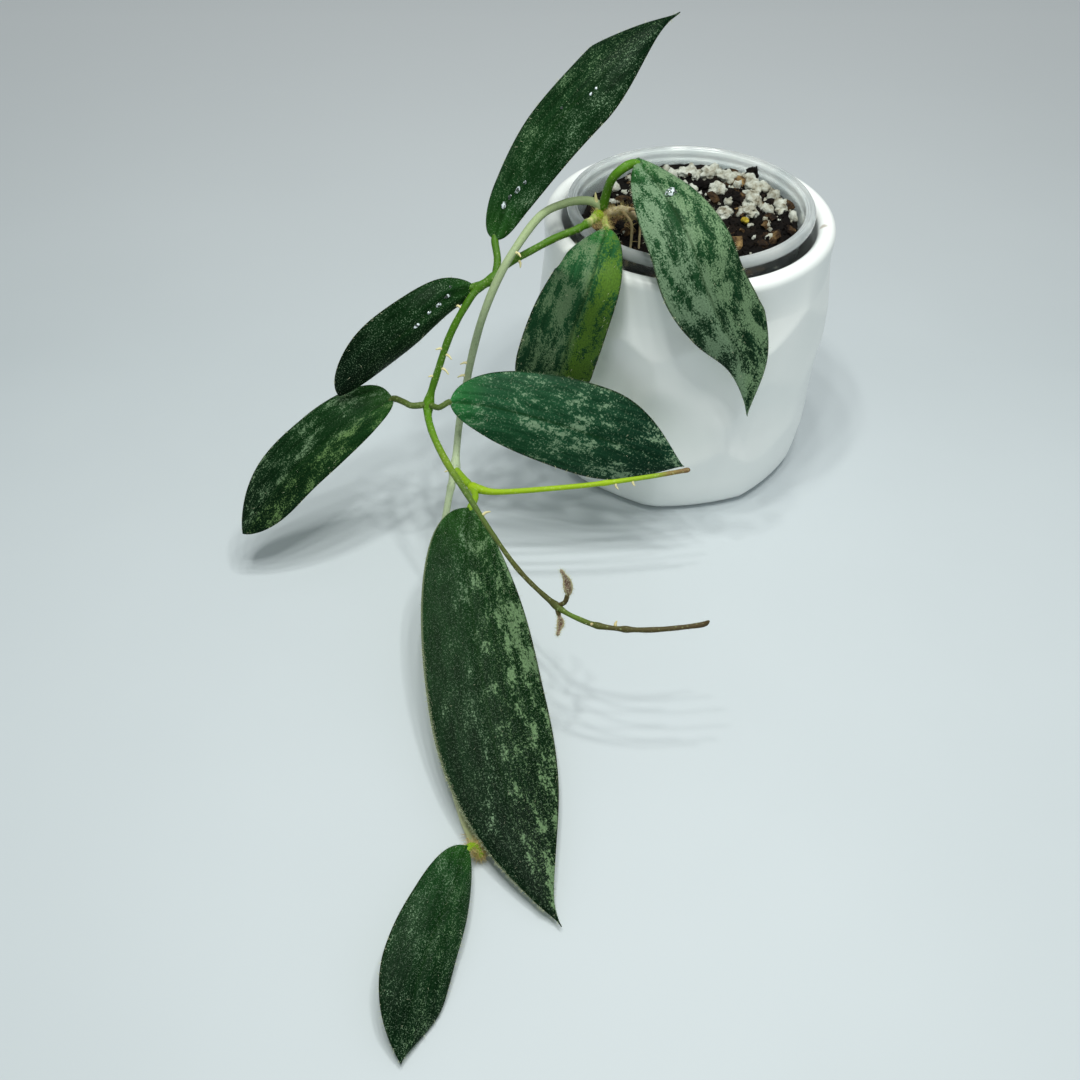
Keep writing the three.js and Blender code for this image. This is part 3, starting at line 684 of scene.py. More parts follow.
def stem_skin(route, radius_at):
    """Points, faces and (along, around) of a stem with rounded ends. Sizes in millimetres."""
    _, where = smooth_path(route)
    length = where[-1]
    tip = max(radius_at(0), radius_at(1))
    steps = max(3, round((length - 2 * tip) / STEM_STEP))
    middle = np.linspace(tip, length - tip, steps)
    places = np.concatenate([tip * END_RINGS, middle, length - tip * END_RINGS[::-1]]) / length
    centres, where = smooth_path(route, places)
    tangents = directions(route, places, 0.002)
    first = np.array([0.0, 0, 1]) if abs(tangents[0][2]) < 0.9 else np.array([1.0, 0, 0])
    normal = unit(np.cross(tangents[0], first))
    turns = turns_round(STEM_SIDES)
    points = []
    for centre, tangent, along in zip(centres, tangents, where):
        normal = unit(normal - tangent * np.dot(normal, tangent))
        sideways = np.cross(tangent, normal)
        from_end = min(along, length - along) / tip
        rounding = math.sqrt(max(0.0006, 1 - (1 - min(1, from_end)) ** 2))
        radius = radius_at(along / length) * rounding
        circle = np.outer(np.cos(turns), normal) + np.outer(np.sin(turns), sideways)
        points.append(centre + radius * circle)
    count = len(places)
    along, around = np.repeat(where, STEM_SIDES), np.tile(turns, count)
    return np.vstack(points), ring_faces(count, STEM_SIDES), along, around


def stem_piece(name, stems, material):
    """One piece from several (route, radius_at, start) stems. `start` says where on the main
    stem a side stem begins, so that its colour goes on from there."""
    skins = [stem_skin(route, radius_at) for route, radius_at, _ in stems]
    piece = new_piece(name, *joined([skin[:2] for skin in skins]), material)
    along = [skin[2] + start for skin, (_, _, start) in zip(skins, stems)]
    give_attribute(piece, "along_mm", np.concatenate(along))
    give_attribute(piece, "around", np.concatenate([skin[3] for skin in skins]))
    return piece


def share_of(route, point):
    """How far along a route a point on it lies, from 0 to 1."""
    path, where = smooth_path(route, step=0.5)
    nearest = np.argmin(np.linalg.norm(path - np.array(point, float), axis=1))
    return where[nearest] / where[-1]


def swellings(share, bumps):
    """The extra radius at a share of a stem, from (centre, extra, width) of its swellings."""
    return sum(
        extra * math.exp(-(((share - centre) / width) ** 2)) for centre, extra, width in bumps
    )


def petiole_radius(thick):
    """A petiole is thickest at its foot and at the blade, where it tapers into the midrib."""
    return lambda t: thick * (0.92 + 0.16 * abs(2 * t - 1) ** 2) * (1 - 1.6 * max(0, t - 0.8))


print("petiole radius in the middle:", round(petiole_radius(1.35)(0.5), 2))

# %% [markdown]
# ### Bark and skin of the stems
#
# Young hoya stems are green, waxy and a little hairy, old ones are corky and tan. Light goes a
# little way into the green ones. One function makes all five skins: a ramp gives the colour along
# the stem, long noise gives fibres, and dots half a millimetre wide are the corky pores. The
# ramp is shifted by up to 8 mm by a noise, because no real stem changes colour on a line.

# %% Stem skins
COLOUR_WANDER, HALF_WANDER = 8.0, 4.0


def stem_material(name, roughness, fibre, pores, pore_colour, colours):
    """`colours` is a list of (millimetres along the stem, colour), of which the last is the end."""
    material, tree, shader = new_material(name)
    place = add(tree, "TexCoord").outputs["Object"]
    along = add(tree, "Attribute", attribute_name="along_mm").outputs["Fac"]
    around = add(tree, "Attribute", attribute_name="around").outputs["Fac"]
    full = colours[-1][0] + HALF_WANDER
    wander = add(tree, "TexNoise", place, 180, 3)
    shifted = add(tree, "Math MULTIPLY_ADD", wander, COLOUR_WANDER, along)
    share = add(tree, "Math DIVIDE", shifted, full)
    stops = [((where + HALF_WANDER) / full, colour) for where, colour in colours]
    bark = add(tree, "ValToRGB", share, stops=stops)
    dark = add(tree, "HueSaturation", Color=bark, Value=0.6)
    skin = add(tree, "CombineXYZ", along, around)
    stretched = add(tree, "VectorMath MULTIPLY", skin, (0.5, 3.0, 1.0))
    fibres = add(tree, "TexNoise", stretched, 1.6, 4)
    streak = add(tree, "MapRange", fibres, 0.5, 0.75, 0.0, fibre)
    dots = add(tree, "TexVoronoi", place, 700)
    pore = add(tree, "MapRange", dots, 0.3, 0.15, 0.0, pores)
    colour = add(tree, "Mix RGBA", streak, bark, dark)
    colour = add(tree, "Mix RGBA", pore, colour, pore_colour)
    bump = add(tree, "Bump", Height=fibres, Strength=0.5, Distance=0.3 * MM)
    fill(tree, shader, {
        "Base Color": colour, "Roughness": roughness, "Specular IOR Level": 0.25, "Normal": bump,
        "Subsurface Weight": 0.1, "Subsurface Radius": (0.001, 0.0015, 0.0005),
        "Subsurface Scale": 0.5})
    return material


corky_bark = stem_material("corky_stem_bark", 0.8, 0.45, 0.2, "#8a6f44", [
    (0, "#7d6b48"), (18, "#b9a578"), (34, "#dfcd9e"), (50, "#e9dab0")])
green_bark = stem_material("green_hoya_bark", 0.5, 0.7, 0.25, "#b9c98a", [
    (0, "#92ad18"), (4, "#7b9f16"), (5, "#c9c588"), (6, "#6f9813"), (8.5, "#c4c384"),
    (10, "#4a7510"), (60, "#426e0d"), (105, "#548612"), (126, "#718f20"), (140, "#54702a"),
    (165, "#505d29"), (180, "#4b4c20"), (194, "#484c21"), (203, "#5b7826"), (214, "#4c4920"),
    (241, "#4c3f22")])
pale_bark = stem_material("silvered_hoya_bark", 0.55, 0.6, 0.4, "#7c8a6c", [
    (0, "#9aad7c"), (60, "#9bac84"), (140, "#b4c4a0"), (262, "#c3c79e"), (276, "#bcc288"),
    (282, "#87a827"), (292, "#7ea316")])
shoot_skin = stem_material("new_shoot_skin", 0.5, 0.4, 0.2, "#dbe89a", [
    (0, "#90b314"), (10, "#97b90f"), (55, "#9dbf13"), (68, "#8dab27"), (73, "#8b7a42"),
    (79, "#7a5f40")])
root_skin = stem_material("aerial_root_skin", 0.7, 0.4, 0.3, "#9a8658", [
    (0, "#ddd59c"), (120, "#e2dbac"), (240, "#cfc08a")])
print("materials so far:", len(bpy.data.materials))

# %% [markdown]
# ## The old stem
#
# The woody stem comes out of the mix behind the rim leaf and carries the first joint. Thin tan
# roots hang from it into the mix. They are stems too, so the same helper makes them.

# %% Old stem: routes in millimetres
FIRST_JOINT = (-33.5, -22, 113)
OLD_ROUTE = [(-13, 9, 74), (-13.5, 8, 88), (-16, 3, 96.5), (-19.5, -4, 103), (-25, -11, 108.6),
             (-31.6, -19.5, 112.4)]
OLD_ROOTS = [
    [(-24, -10, 107.5), (-21.5, -11.5, 109.3), (-19.2, -12.6, 106.5), (-19, -14, 94.5)],
    [(-26.5, -13.5, 109.5), (-24.5, -16.5, 109.5), (-22.4, -18.2, 106), (-22.6, -19, 94)],
    [(-20, -5, 103.2), (-17.3, -6.6, 104.4), (-14.6, -8.6, 101.5), (-14, -9.5, 95.5)],
]


def old_radius(t):
    knuckles = 0.12 * math.sin(70 * t) + 0.1 * math.sin(31 * t + 1)
    return 1.75 + 0.25 * math.sin(5 * t) + knuckles


old_stems = [(OLD_ROUTE, old_radius, 0.0)]
old_stems += [(route, lambda t: 0.6 - 0.25 * t, 14.0) for route in OLD_ROOTS]
bark_stem = stem_piece("bark_stem", old_stems, corky_bark)
finish_piece(bark_stem, "bark", "old_stem")

# %% [markdown]
# ## The green vine
#
# The green vine leaves the first joint, arches over the rim and turns back at the third joint.
# Past there it gets thin and brown. Every leaf hangs on a thick, bent petiole, and each petiole
# starts inside the swelling of its joint, so the two grow into one another.

# %% Green vine
SECOND_JOINT = (-70.5, -44, 101)
THIRD_JOINT = (-94, -59.5, 60)
TIP_JOINT = (-49.5, -142.5, 46)
GREEN_ROUTE = [
    FIRST_JOINT, (-41, -31.5, 113), (-49.5, -34, 110.5), (-58, -37.5, 107.5), (-65.5, -40.5, 104.5),
    SECOND_JOINT, (-75.5, -46, 98.5), (-80, -50.5, 94), (-85, -54.5, 86), (-89, -56.5, 75.5),
    THIRD_JOINT, (-92.5, -69.5, 56.5), (-86.5, -83, 53), (-78.5, -97.5, 50.5), (-70, -113, 48),
    (-60.5, -129, 46.5), TIP_JOINT, (-42.5, -148, 46), (-35, -151.5, 46.5), (-22, -153.5, 47.5),
    (-7, -152.5, 48.5), (-4, -152.5, 50.5),
]
second, third, last = [share_of(GREEN_ROUTE, p) for p in (SECOND_JOINT, THIRD_JOINT, TIP_JOINT)]
GREEN_SWELLINGS = [
    (0.0, 1.3, 0.016), (0.036, 0.35, 0.005), (0.052, 0.25, 0.004), (second, 0.75, 0.012),
    (second + 0.02, 0.35, 0.006), (third, 0.85, 0.012), (last, 0.5, 0.009), (0.86, 0.25, 0.006),
    (0.895, 0.3, 0.006),
]


def green_radius(t):
    thinned = 1.25 - 0.45 * min(1, max(0, (t - 0.5) / 0.16))
    uneven = 0.04 * math.sin(90 * t) + 0.03 * math.sin(212 * t)
    return thinned + swellings(t, GREEN_SWELLINGS) + uneven


RIM_PETIOLE = [(-33.2, -21.6, 114), (-32, -22, 121), (-30.5, -23.5, 126.5), (-27.5, -23.5, 129.8),
               (-23.6, -21.4, 130.9), (-20.8, -21.9, 130.2)]
FRONT_PETIOLE = [(-33, -22, 113), (-32.5, -25.5, 112), (-32, -28.9, 111), (-32.4, -31.4, 110.3)]
TOP_PETIOLE = [(-69.5, -42.5, 101.5), (-69, -38, 105), (-69.95, -32.3, 108.7), (-69.4, -30.5, 111)]
UPPER_LEFT_PETIOLE = [(-72.5, -45, 99.8), (-76.6, -44.3, 98.3), (-79.2, -45.6, 97.6)]
LEFT_PETIOLE = [THIRD_JOINT, (-99.5, -61, 60.5), (-102.5, -59.5, 60.9), (-106.6, -56.3, 60.1),
                (-109, -57.2, 58.9)]
CENTRE_PETIOLE = [THIRD_JOINT, (-90.5, -63.3, 61.5), (-88.7, -63.6, 62.4), (-86.4, -62.1, 62.95),
                  (-83.8, -61.6, 62.3)]
green_stems = [
    (GREEN_ROUTE, green_radius, 0.0),
    (RIM_PETIOLE, petiole_radius(1.6), 70.0),
    (FRONT_PETIOLE, petiole_radius(1.35), 2.0),
    (TOP_PETIOLE, petiole_radius(1.35), 50.0),
    (UPPER_LEFT_PETIOLE, petiole_radius(1.35), 50.0),
    (LEFT_PETIOLE, petiole_radius(1.2), 148.0),
    (CENTRE_PETIOLE, petiole_radius(1.1), 145.0),
    ([TIP_JOINT, (-47, -142.8, 48), (-46.15, -141.8, 50.8)], lambda t: 0.75, 224.0),
    ([TIP_JOINT, (-48.7, -145.1, 44)], lambda t: 0.75, 224.0),
]
green_vine = stem_piece("green_vine_skin", green_stems, green_bark)
finish_piece(green_vine, "green_bark", "green_vine")

# %% [markdown]
# ## The pale vine
#
# The pale vine starts beside the green one, crosses in front of it, and runs down behind the
# centre leaf to lie on the table under the long leaf. Its skin is silvery green and smooth.

# %% Pale vine
PALE_JOINT = (-85.5, -68.5, 38)
FLOOR_JOINT = (-72, -203, 2.2)
FORK = (-79.5, -78.5, 38.5)
PALE_ROUTE = [
    (-33.2, -21.8, 114.2), (-35.4, -21.2, 116.5), (-39, -20.5, 117.2), (-46, -22.5, 117.2),
    (-54.5, -30, 116.5), (-63, -43.5, 111.5), (-69, -49.8, 103.2), (-74, -53, 91.5),
    (-78, -50.5, 76), (-81, -50.5, 62), (-84, -56, 48), PALE_JOINT, (-88, -78.5, 29),
    (-91, -91.5, 14), (-91, -121.5, 5), (-85.5, -161.5, 2.2), (-78.5, -188.5, 1.9), FLOOR_JOINT,
]
PALE_SWELLINGS = [(share_of(PALE_ROUTE, PALE_JOINT), 0.7, 0.01), (1.0, 0.3, 0.012),
                  (0.47, 0.25, 0.005), (0.49, 0.25, 0.004)]
LONG_PETIOLE = [FORK, (-77.3, -84.4, 38.8), (-78.9, -89.8, 37.8), (-79, -91.8, 36.7)]
LOWER_PETIOLE = [FLOOR_JOINT, (-72.8, -201.9, 4.4), (-74.6, -202, 6.8), (-76.8, -204.8, 8)]


def pale_radius(t):
    return 1.4 - 0.2 * t + swellings(t, PALE_SWELLINGS) + 0.04 * math.sin(70 * t)


pale_stems = [
    (PALE_ROUTE, pale_radius, 0.0),
    ([PALE_JOINT, (-82, -75, 38.5), FORK], lambda t: 1.3 + 0.3 * t, 284.0),
    (LONG_PETIOLE, petiole_radius(1.35), 288.0),
    (LOWER_PETIOLE, petiole_radius(1.25), 283.0),
]
pale_vine = stem_piece("pale_vine_skin", pale_stems, pale_bark)
finish_piece(pale_vine, "pale_bark", "pale_vine")

# %% [markdown]
# ## The new shoot
#
# A soft yellow-green shoot runs from the fork towards the pot and ends in a brown, dried tip. It
# is one more stem, swollen at its foot, at its one joint and at its tip.

# %% New shoot
SHOOT_ROUTE = [(-80, -78.6, 38.6), (-76.1, -81, 39), (-68.5, -83, 39.5), (-47.5, -83, 41.5),
               (-33.5, -82.5, 43), (-16, -80.5, 44.5), (-2, -78.5, 46)]
SHOOT_SWELLINGS = [(1.0, 0.35, 0.02), (0.0, 0.9, 0.09), (0.62, 0.2, 0.02)]


def shoot_radius(t):
    return 1.05 - 0.25 * t + swellings(t, SHOOT_SWELLINGS)


new_shoot = stem_piece("new_shoot_skin", [(SHOOT_ROUTE, shoot_radius, 0.0)], shoot_skin)
finish_piece(new_shoot, "new_growth", "new_shoot")

# %% [markdown]
# ## Roots on the vines
#
# A climbing hoya puts out short pale roots near its joints, ready to hold on to bark. They could
# be scattered, but they stand in known places, so each has its share of the vine, the way it
# points and its length.

# %% Aerial roots
GREEN_ROOTS = [
    (0.147, (0.8, -0.5, -0.3), 2.4), (0.251, (-1, 0, 0.2), 2.6), (0.315, (-1, -0.3, 0), 2.0),
    (0.32, (1, -0.3, 0.4), 2.4), (0.344, (1, -0.5, -0.4), 3.0), (0.36, (-1, -0.3, -0.3), 1.6),
    (0.619, (1, 0, 0.4), 2.4), (0.855, (0, -0.7, 0.7), 1.0), (0.882, (0, 0.7, 0.7), 1.2),
]
PALE_ROOTS = [
    (0.157, (0.9, -0.4, 0.2), 2.6), (0.32, (-1, -0.2, 0.2), 2.4), (0.341, (-1, -0.3, -0.2), 2.6),
    (0.47, (-1, 0, 0), 2.2), (0.475, (1, -0.4, -0.2), 2.4), (0.985, (0, -0.7, -0.1), 2.2),
]
SHOOT_ROOTS = [(0.67, (-0.2, -0.7, -0.7), 2.2), (0.745, (0.2, -0.7, -0.7), 1.9)]
DRIED_PETIOLE = [(-34, -22, 113), (-35.4, -21.6, 117.4), (-35.8, -21, 120.6)]


def aerial_roots(route, radius, stubs):
    """Short roots that stand out of a vine, as more stems. Each is (share, direction, length)."""
    path, where = smooth_path(route, step=0.5)
    roots = []
    for share, direction, length in stubs:
        i = min(len(path) - 2, max(1, int(share * (len(path) - 1))))
        tangent = unit(path[i + 1] - path[i - 1])
        out = unit(np.array(direction, float) - tangent * np.dot(tangent, direction))
        start = path[i] + out * radius * 0.4
        bend = tangent * length * 0.3
        end = path[i] + out * (radius + length)
        stub = [start, (start + end) / 2 - bend * 0.2, end + bend]
        roots.append((stub, lambda t: 0.6 - 0.38 * t, where[i]))
    return roots


roots = aerial_roots(GREEN_ROUTE, 1.2, GREEN_ROOTS)
roots += aerial_roots(PALE_ROUTE, 1.25, PALE_ROOTS)
roots += aerial_roots(SHOOT_ROUTE, 0.7, SHOOT_ROOTS)
roots.append((DRIED_PETIOLE, lambda t: 1.3 - 1.05 * t, 0.0))
vine_roots = stem_piece("vine_roots", roots, root_skin)
finish_piece(vine_roots, "bark")

# %% [markdown]
# ## Leaves
#
# A hoya leaf is a thick, arched blade with a smooth edge. The same formula that shaped the
# solids shapes them here, on a much finer net: the midrib is a smooth path, each half has its own
# outline, and the blade is arched and turned about the midrib. On top come the things that the
# solids are too coarse for: the channel along the midrib, the ridge under it, the rounded edge,
# and a slight wave. Each point also keeps where it is on the blade, in millimetres along and
# across, so that the pattern grows with the leaf and doesn't run through it like marble.

# %% The blade formula
BLADE_THICK, BLADE_THINS, EDGE_SQUARENESS = 1.6, 0.7, 9
TIP_HALF, EDGE_HALF, WAVE_LENGTH, WAVE_FADE = 0.15, 0.65, 7.0, 6


def half_outline(t, widest, blunt, full, drawn):
    """Half the width from base (0) to tip (1), as a share of the widest place."""
    rising = (1 - np.clip((widest - t) / widest, 0, 1) ** 2) ** blunt
    falling = (1 - np.clip((t - widest) / (1 - widest), 0, 1) ** full) ** drawn
    return np.where(t < widest, rising, falling)


def blade_points(leaf, stations, columns):
    """Rings round the blade from base to tip, with what each point needs for its material."""
    t = 0.5 - 0.5 * np.cos(np.linspace(0, 1, stations) * math.pi)
    centre, run = smooth_path(leaf["midrib"], t)
    along = directions(leaf["midrib"], t, 0.004)
    base_facing, tip_facing = np.array(leaf["facing"], float)
    side = unit(np.cross(along, base_facing + (tip_facing - base_facing) * t[:, None]))
    normal = np.cross(side, along)
    turn = np.radians(leaf["twist"][0] + (leaf["twist"][1] - leaf["twist"][0]) * t)[:, None]
    across = side * np.cos(turn) + normal * np.sin(turn)
    up = normal * np.cos(turn) - side * np.sin(turn)
    thickness = leaf.get("thickness", 1.0)
    spread = np.sin(np.linspace(-1, 1, columns) * math.pi / 2)
    ring = [(v, 1) for v in spread] + [(v, -1) for v in spread[-2:0:-1]]
    rib_fade = np.clip(t / 0.06, 0, 1) * np.clip((0.93 - t) / 0.3, 0, 1)
    to_tip = np.clip((1 - t) / 0.07, 0, 1)
    points, places, marks = [], [], []
    for v, face in ring:
        width, *form = leaf["left"] if v < 0 else leaf["right"]
        least = (TIP_HALF + EDGE_HALF * to_tip) * thickness
        half = np.maximum(width * half_outline(t, *form), least)
        offset = half * v
        rounding = math.sqrt(max(0, 1 - abs(v) ** EDGE_SQUARENESS))
        thick = (BLADE_THICK - BLADE_THINS * v * v) * thickness * rounding * (0.3 + 0.7 * to_tip) / 2
        channel = leaf.get("channel", 0.6) * np.exp(-((offset / 1.0) ** 2)) * rib_fade
        lift = face * thick + (-channel if face > 0 else -0.6 * channel)
        wave = leaf.get("wave", 0.3) * v * v * np.sin(run / WAVE_LENGTH + (2 if v < 0 else 0))
        lift = lift + wave * np.clip(half / WAVE_FADE, 0, 1) - leaf["arch"] * half * v * v
        points.append(centre + across * offset[:, None] + up * lift[:, None])
        places.append(np.stack([run, offset, np.full_like(run, leaf["seed"] * 40.0)], 1))
        marks.append(np.stack([t, np.full_like(t, v), np.full_like(t, face)], 1))
    return [np.stack(rows, 1).reshape(-1, 3) for rows in (points, places, marks)] + [len(ring)]


print("width of a blade half way to its tip:", half_outline(np.array([0.5]), 0.6, 0.5, 2, 1).round(2))

# %% [markdown]
# ### The leaves' sizes
#
# Each leaf has its midrib in millimetres, the way its base and tip face, its twist in degrees, its
# arch, and for each half the width and the form of its outline. No two leaves of a plant have the
# same skin. `look` says how thick the flecks are, how yellow, and how fine. `shade` and `hue`
# change the green, and `glow` the silver. On the long leaf the flecks `lean` to one side, and
# about a third of the way along that lean is stronger, so the extra silver there is a painted
# sheen. The other edge is `woolly`. Two blades have short `bristles` on top.

# %% Eight leaves
TOWARDS_VIEWER, UPWARDS = (0, -0.75, 0.65), (0, 0, 1)
LEAVES = {
    "leaf_top": dict(
        midrib=[(-70, -32, 109), (-64, -27, 123), (-53, -25, 141), (-36, -19, 158), (-21, -10, 168),
                (-10, -2, 172)],
        facing=(TOWARDS_VIEWER, TOWARDS_VIEWER), twist=(16, 9), arch=0.22,
        left=(10.6, 0.7, 0.3, 1.2, 1.41), right=(10.9, 0.57, 0.47, 1.7, 1.7),
        look=(0.33, 0.25, 0.85), shade=0.7),
    "leaf_rim": dict(
        midrib=[(-22, -19, 131), (-15, -41, 130), (-7, -55, 121), (-2, -60, 109), (5, -61, 95),
                (14, -61, 78), (18, -65, 59)],
        facing=((0, -0.3, 1), (0.1, -0.9, 0.4)), twist=(-2, -9), arch=0.12,
        left=(15.1, 0.71, 0.64, 1.2, 1.14), right=(13.9, 0.48, 0.76, 1.9, 1.7),
        look=(0.64, 0.2, 0.6), shade=1.15, hue=0.515),
    "leaf_front": dict(
        midrib=[(-32, -29, 111), (-35, -44, 111), (-38, -53, 104), (-43, -51, 86), (-48, -49, 64),
                (-53, -51, 41)],
        facing=((0, -0.5, 1), (0, -0.95, 0.3)), twist=(-10, 3), arch=0.22,
        left=(11.6, 0.73, 0.43, 1.7, 1.04), right=(16.5, 0.7, 0.45, 2.2, 0.85),
        look=(0.64, 1.0, 0.6), shade=1.6, hue=0.52, glow=0.76),
    "leaf_upper_left": dict(
        midrib=[(-77, -44, 98), (-86, -52, 98), (-97, -59, 92), (-111, -60, 80), (-125, -60, 64)],
        facing=((0, -0.5, 1), (0, -0.7, 0.7)), twist=(40, 40), arch=0.45,
        left=(6.4, 0.65, 0.3, 2.2, 0.68), right=(9.4, 0.57, 0.49, 1.8, 0.5),
        look=(0.2, 0.2, 0.8), shade=0.52),
    "leaf_left": dict(
        midrib=[(-107, -56, 60), (-117.5, -62.5, 57), (-130.5, -69.5, 50.5), (-145.5, -76, 39),
                (-162.5, -84, 20)],
        facing=((0, -0.6, 1), (-0.2, -0.7, 0.7)), twist=(8, 3), arch=0.12,
        left=(9.6, 0.57, 0.52, 2.8, 0.75), right=(12.6, 0.38, 0.3, 3.1, 0.79),
        look=(0.46, 0.6, 0.6), shade=0.7, glow=0.85),
    "leaf_centre": dict(
        midrib=[(-86, -62, 63), (-70, -64, 62), (-48, -67, 57), (-23, -69, 48), (-3, -71, 41)],
        facing=((0, -0.7, 0.7), (0, -0.8, 0.6)), twist=(-11, -17), arch=0.22,
        left=(16.8, 0.58, 0.47, 2.3, 1.27), right=(16.2, 0.57, 0.53, 2.6, 1.26),
        look=(0.42, 0.0, 0.2), shade=1.45, hue=0.535, glow=1.1),
    "leaf_long": dict(
        midrib=[(-79, -90, 38), (-79.5, -107.5, 33), (-75.5, -137, 23), (-69, -169.5, 13.5),
                (-62, -196.5, 9), (-54.5, -215.5, 5), (-48.5, -224.5, 2)],
        facing=((0, -0.2, 1), UPWARDS), twist=(20, -4), arch=0.1,
        left=(19.9, 0.43, 0.52, 3, 1.46), right=(18.2, 0.47, 0.4, 2.5, 1.48),
        look=(0.37, 0.3, 0.4), shade=0.57, lean=1.0, woolly=5, bristles=1.0),
    "leaf_lower": dict(
        midrib=[(-76, -203, 8), (-80.5, -221.5, 11), (-85, -234.5, 10), (-88.5, -248.5, 7),
                (-90.5, -261.5, 2)],
        facing=(UPWARDS, UPWARDS), twist=(32, 28), arch=0.2,
        left=(9.6, 0.65, 0.64, 3, 1.64), right=(10.8, 0.59, 0.43, 1.9, 0.94),
        look=(0.33, 0.2, 0.9), shade=0.75, bristles=0.8),
}
widest = max(leaf["left"][0] + leaf["right"][0] for leaf in LEAVES.values())
print("widest leaf in mm:", round(widest, 1))

# %% [markdown]
# ### Silver-splashed leaf
#
# The blade is dark green and waxy. The silver flecks are places where a film of air lies under
# the skin, so they are paler but just as smooth. They come as small ragged dots of under a
# millimetre that crowd into patches of five to ten millimetres, longer along the leaf than
# across. A picture could be painted for each leaf, but noises on the blade's own millimetres fit
# all eight. This cell reads the blade's attributes and makes the noises.

# %% What the leaf's skin reads
leaf_skin, tree, shader = new_material("silver_splashed_leaf")
where, mark, look = [
    add(tree, "Attribute", attribute_name="blade_" + field).outputs["Vector"]
    for field in ("mm", "mark", "look")
]
shade, hue, glow, lean = [
    add(tree, "Attribute", attribute_name="blade_" + field).outputs["Fac"]
    for field in ("shade", "hue", "glow", "lean")
]
along, across, face = add(tree, "SeparateXYZ", mark).outputs
along_mm, across_mm, _ = add(tree, "SeparateXYZ", where).outputs
amount, yellow, fineness = add(tree, "SeparateXYZ", look).outputs
speck_scale = add(tree, "MapRange", fineness, 0.0, 1.0, 1.1, 2.5)
noises = {  # stretch along the blade, features per millimetre, detail, roughness
    "where the flecks crowd": (0.42, 0.26, 3, 0.55),
    "coarse flecks": (0.8, 0.8, 4, 0.75),
    "fine flecks": (0.75, 1.9, 4, 0.8),
    "lighter streaks along the blade": (0.04, 0.7, 3, 0.6),
    "glossier and duller places": (0.5, 0.6, 3, 0.5),
    "the grain of the skin": (1.0, 3.0, 4, 0.6),
    "single specks": (1.0, speck_scale, 3, 0.7),
}
stretched = [add(tree, "VectorMath MULTIPLY", where, (row[0], 1.0, 1.0)) for row in noises.values()]
crowds, coarse, fine, streak, gloss, grain, specks = [
    add(tree, "TexNoise", vector, *row[1:]) for vector, row in zip(stretched, noises.values())
]
print("noises in the leaf's skin:", len(noises))

# %% [markdown]
# ### Where the silver lies
#
# A broad noise says where the flecks crowd, and a fine one where each is. Their sum is cut at a
# level that the leaf's own amount shifts. The blade with the most yellow has one long band, so a
# product of four limits adds a little there, and a leaning leaf has more on one side. On the long
# leaf the lean is strongest about a third of the way along, and the extra silver there is a
# painted sheen.

# %% How much splash
fleck = add(tree, "Mix", fineness, coarse, fine)
clumping = add(tree, "MapRange", fineness, 0.0, 1.0, 0.85, 0.45)
centred = add(tree, "Math SUBTRACT", crowds, 0.5)
crowded = add(tree, "Math MULTIPLY", centred, clumping)
shifted = add(tree, "Math MULTIPLY_ADD", amount, 0.42, -0.25)
total = add(tree, "Math ADD", fleck, crowded)
total = add(tree, "Math ADD", total, shifted)
band = add(tree, "Math POWER", yellow, 3.0)
band_limits = [(across, -0.1, -0.25), (across, -0.95, -0.75), (along, 0.08, 0.25), (along, 0.95, 0.7)]
for share, low, high in band_limits:
    limit = add(tree, "MapRange", share, low, high)
    band = add(tree, "Math MULTIPLY", band, limit)
total = add(tree, "Math MULTIPLY_ADD", band, 0.045, total)
# the lean adds silver on one side; about a third of the way along the long leaf it is a painted sheen
total = add(tree, "Math MULTIPLY_ADD", lean, 0.07, total)
splash = add(tree, "MapRange", total, 0.5, 0.55, 0.0, 0.88)
print("limits of the yellow band:", len(band_limits))

# %% [markdown]
# ### Greens and silvers
#
# The green is brightest at the base and dark towards the tip, and lighter in streaks and round
# the flecks. The silver is yellower on one half. It lies in single specks and in dappled patches.

# %% Paints for the upper face
stops = [(0.0, "#234f19"), (0.15, "#133615"), (0.8, "#08200e")]
green = add(tree, "ValToRGB", along, stops=stops)
green = add(tree, "HueSaturation", Color=green, Value=shade, Hue=hue)
lighter = add(tree, "HueSaturation", Color=green, Value=2.3, Saturation=0.92)
streaked = add(tree, "MapRange", streak, 0.42, 0.7, 0.0, 0.6)
round_flecks = add(tree, "MapRange", crowds, 0.42, 0.66, 0.0, 0.6)
yellow_half = add(tree, "MapRange", across, 0.15, -0.25, 0.25, 1.0)
yellowed = add(tree, "Math MULTIPLY", yellow, yellow_half)
silver = add(tree, "Mix RGBA", yellowed, "#829f7f", "#6b9436")
silver = add(tree, "HueSaturation", Color=silver, Value=glow)
deep_silver = add(tree, "HueSaturation", Color=silver, Value=0.55)
# the lean adds specks too, so the long leaf's painted sheen shows in them as well
leaning = add(tree, "Math MULTIPLY_ADD", lean, 0.15, crowds)
often = add(tree, "MapRange", leaning, 0.36, 0.56, 0.3, 1.0)
specked = add(tree, "MapRange", specks, 0.58, 0.64, 0.0, 0.62)
specked = add(tree, "Math MULTIPLY", specked, often)
dapple = add(tree, "MapRange", fine, 0.38, 0.66)
dappled = add(tree, "Mix RGBA", dapple, deep_silver, silver)
print("nodes so far:", len(tree.nodes))
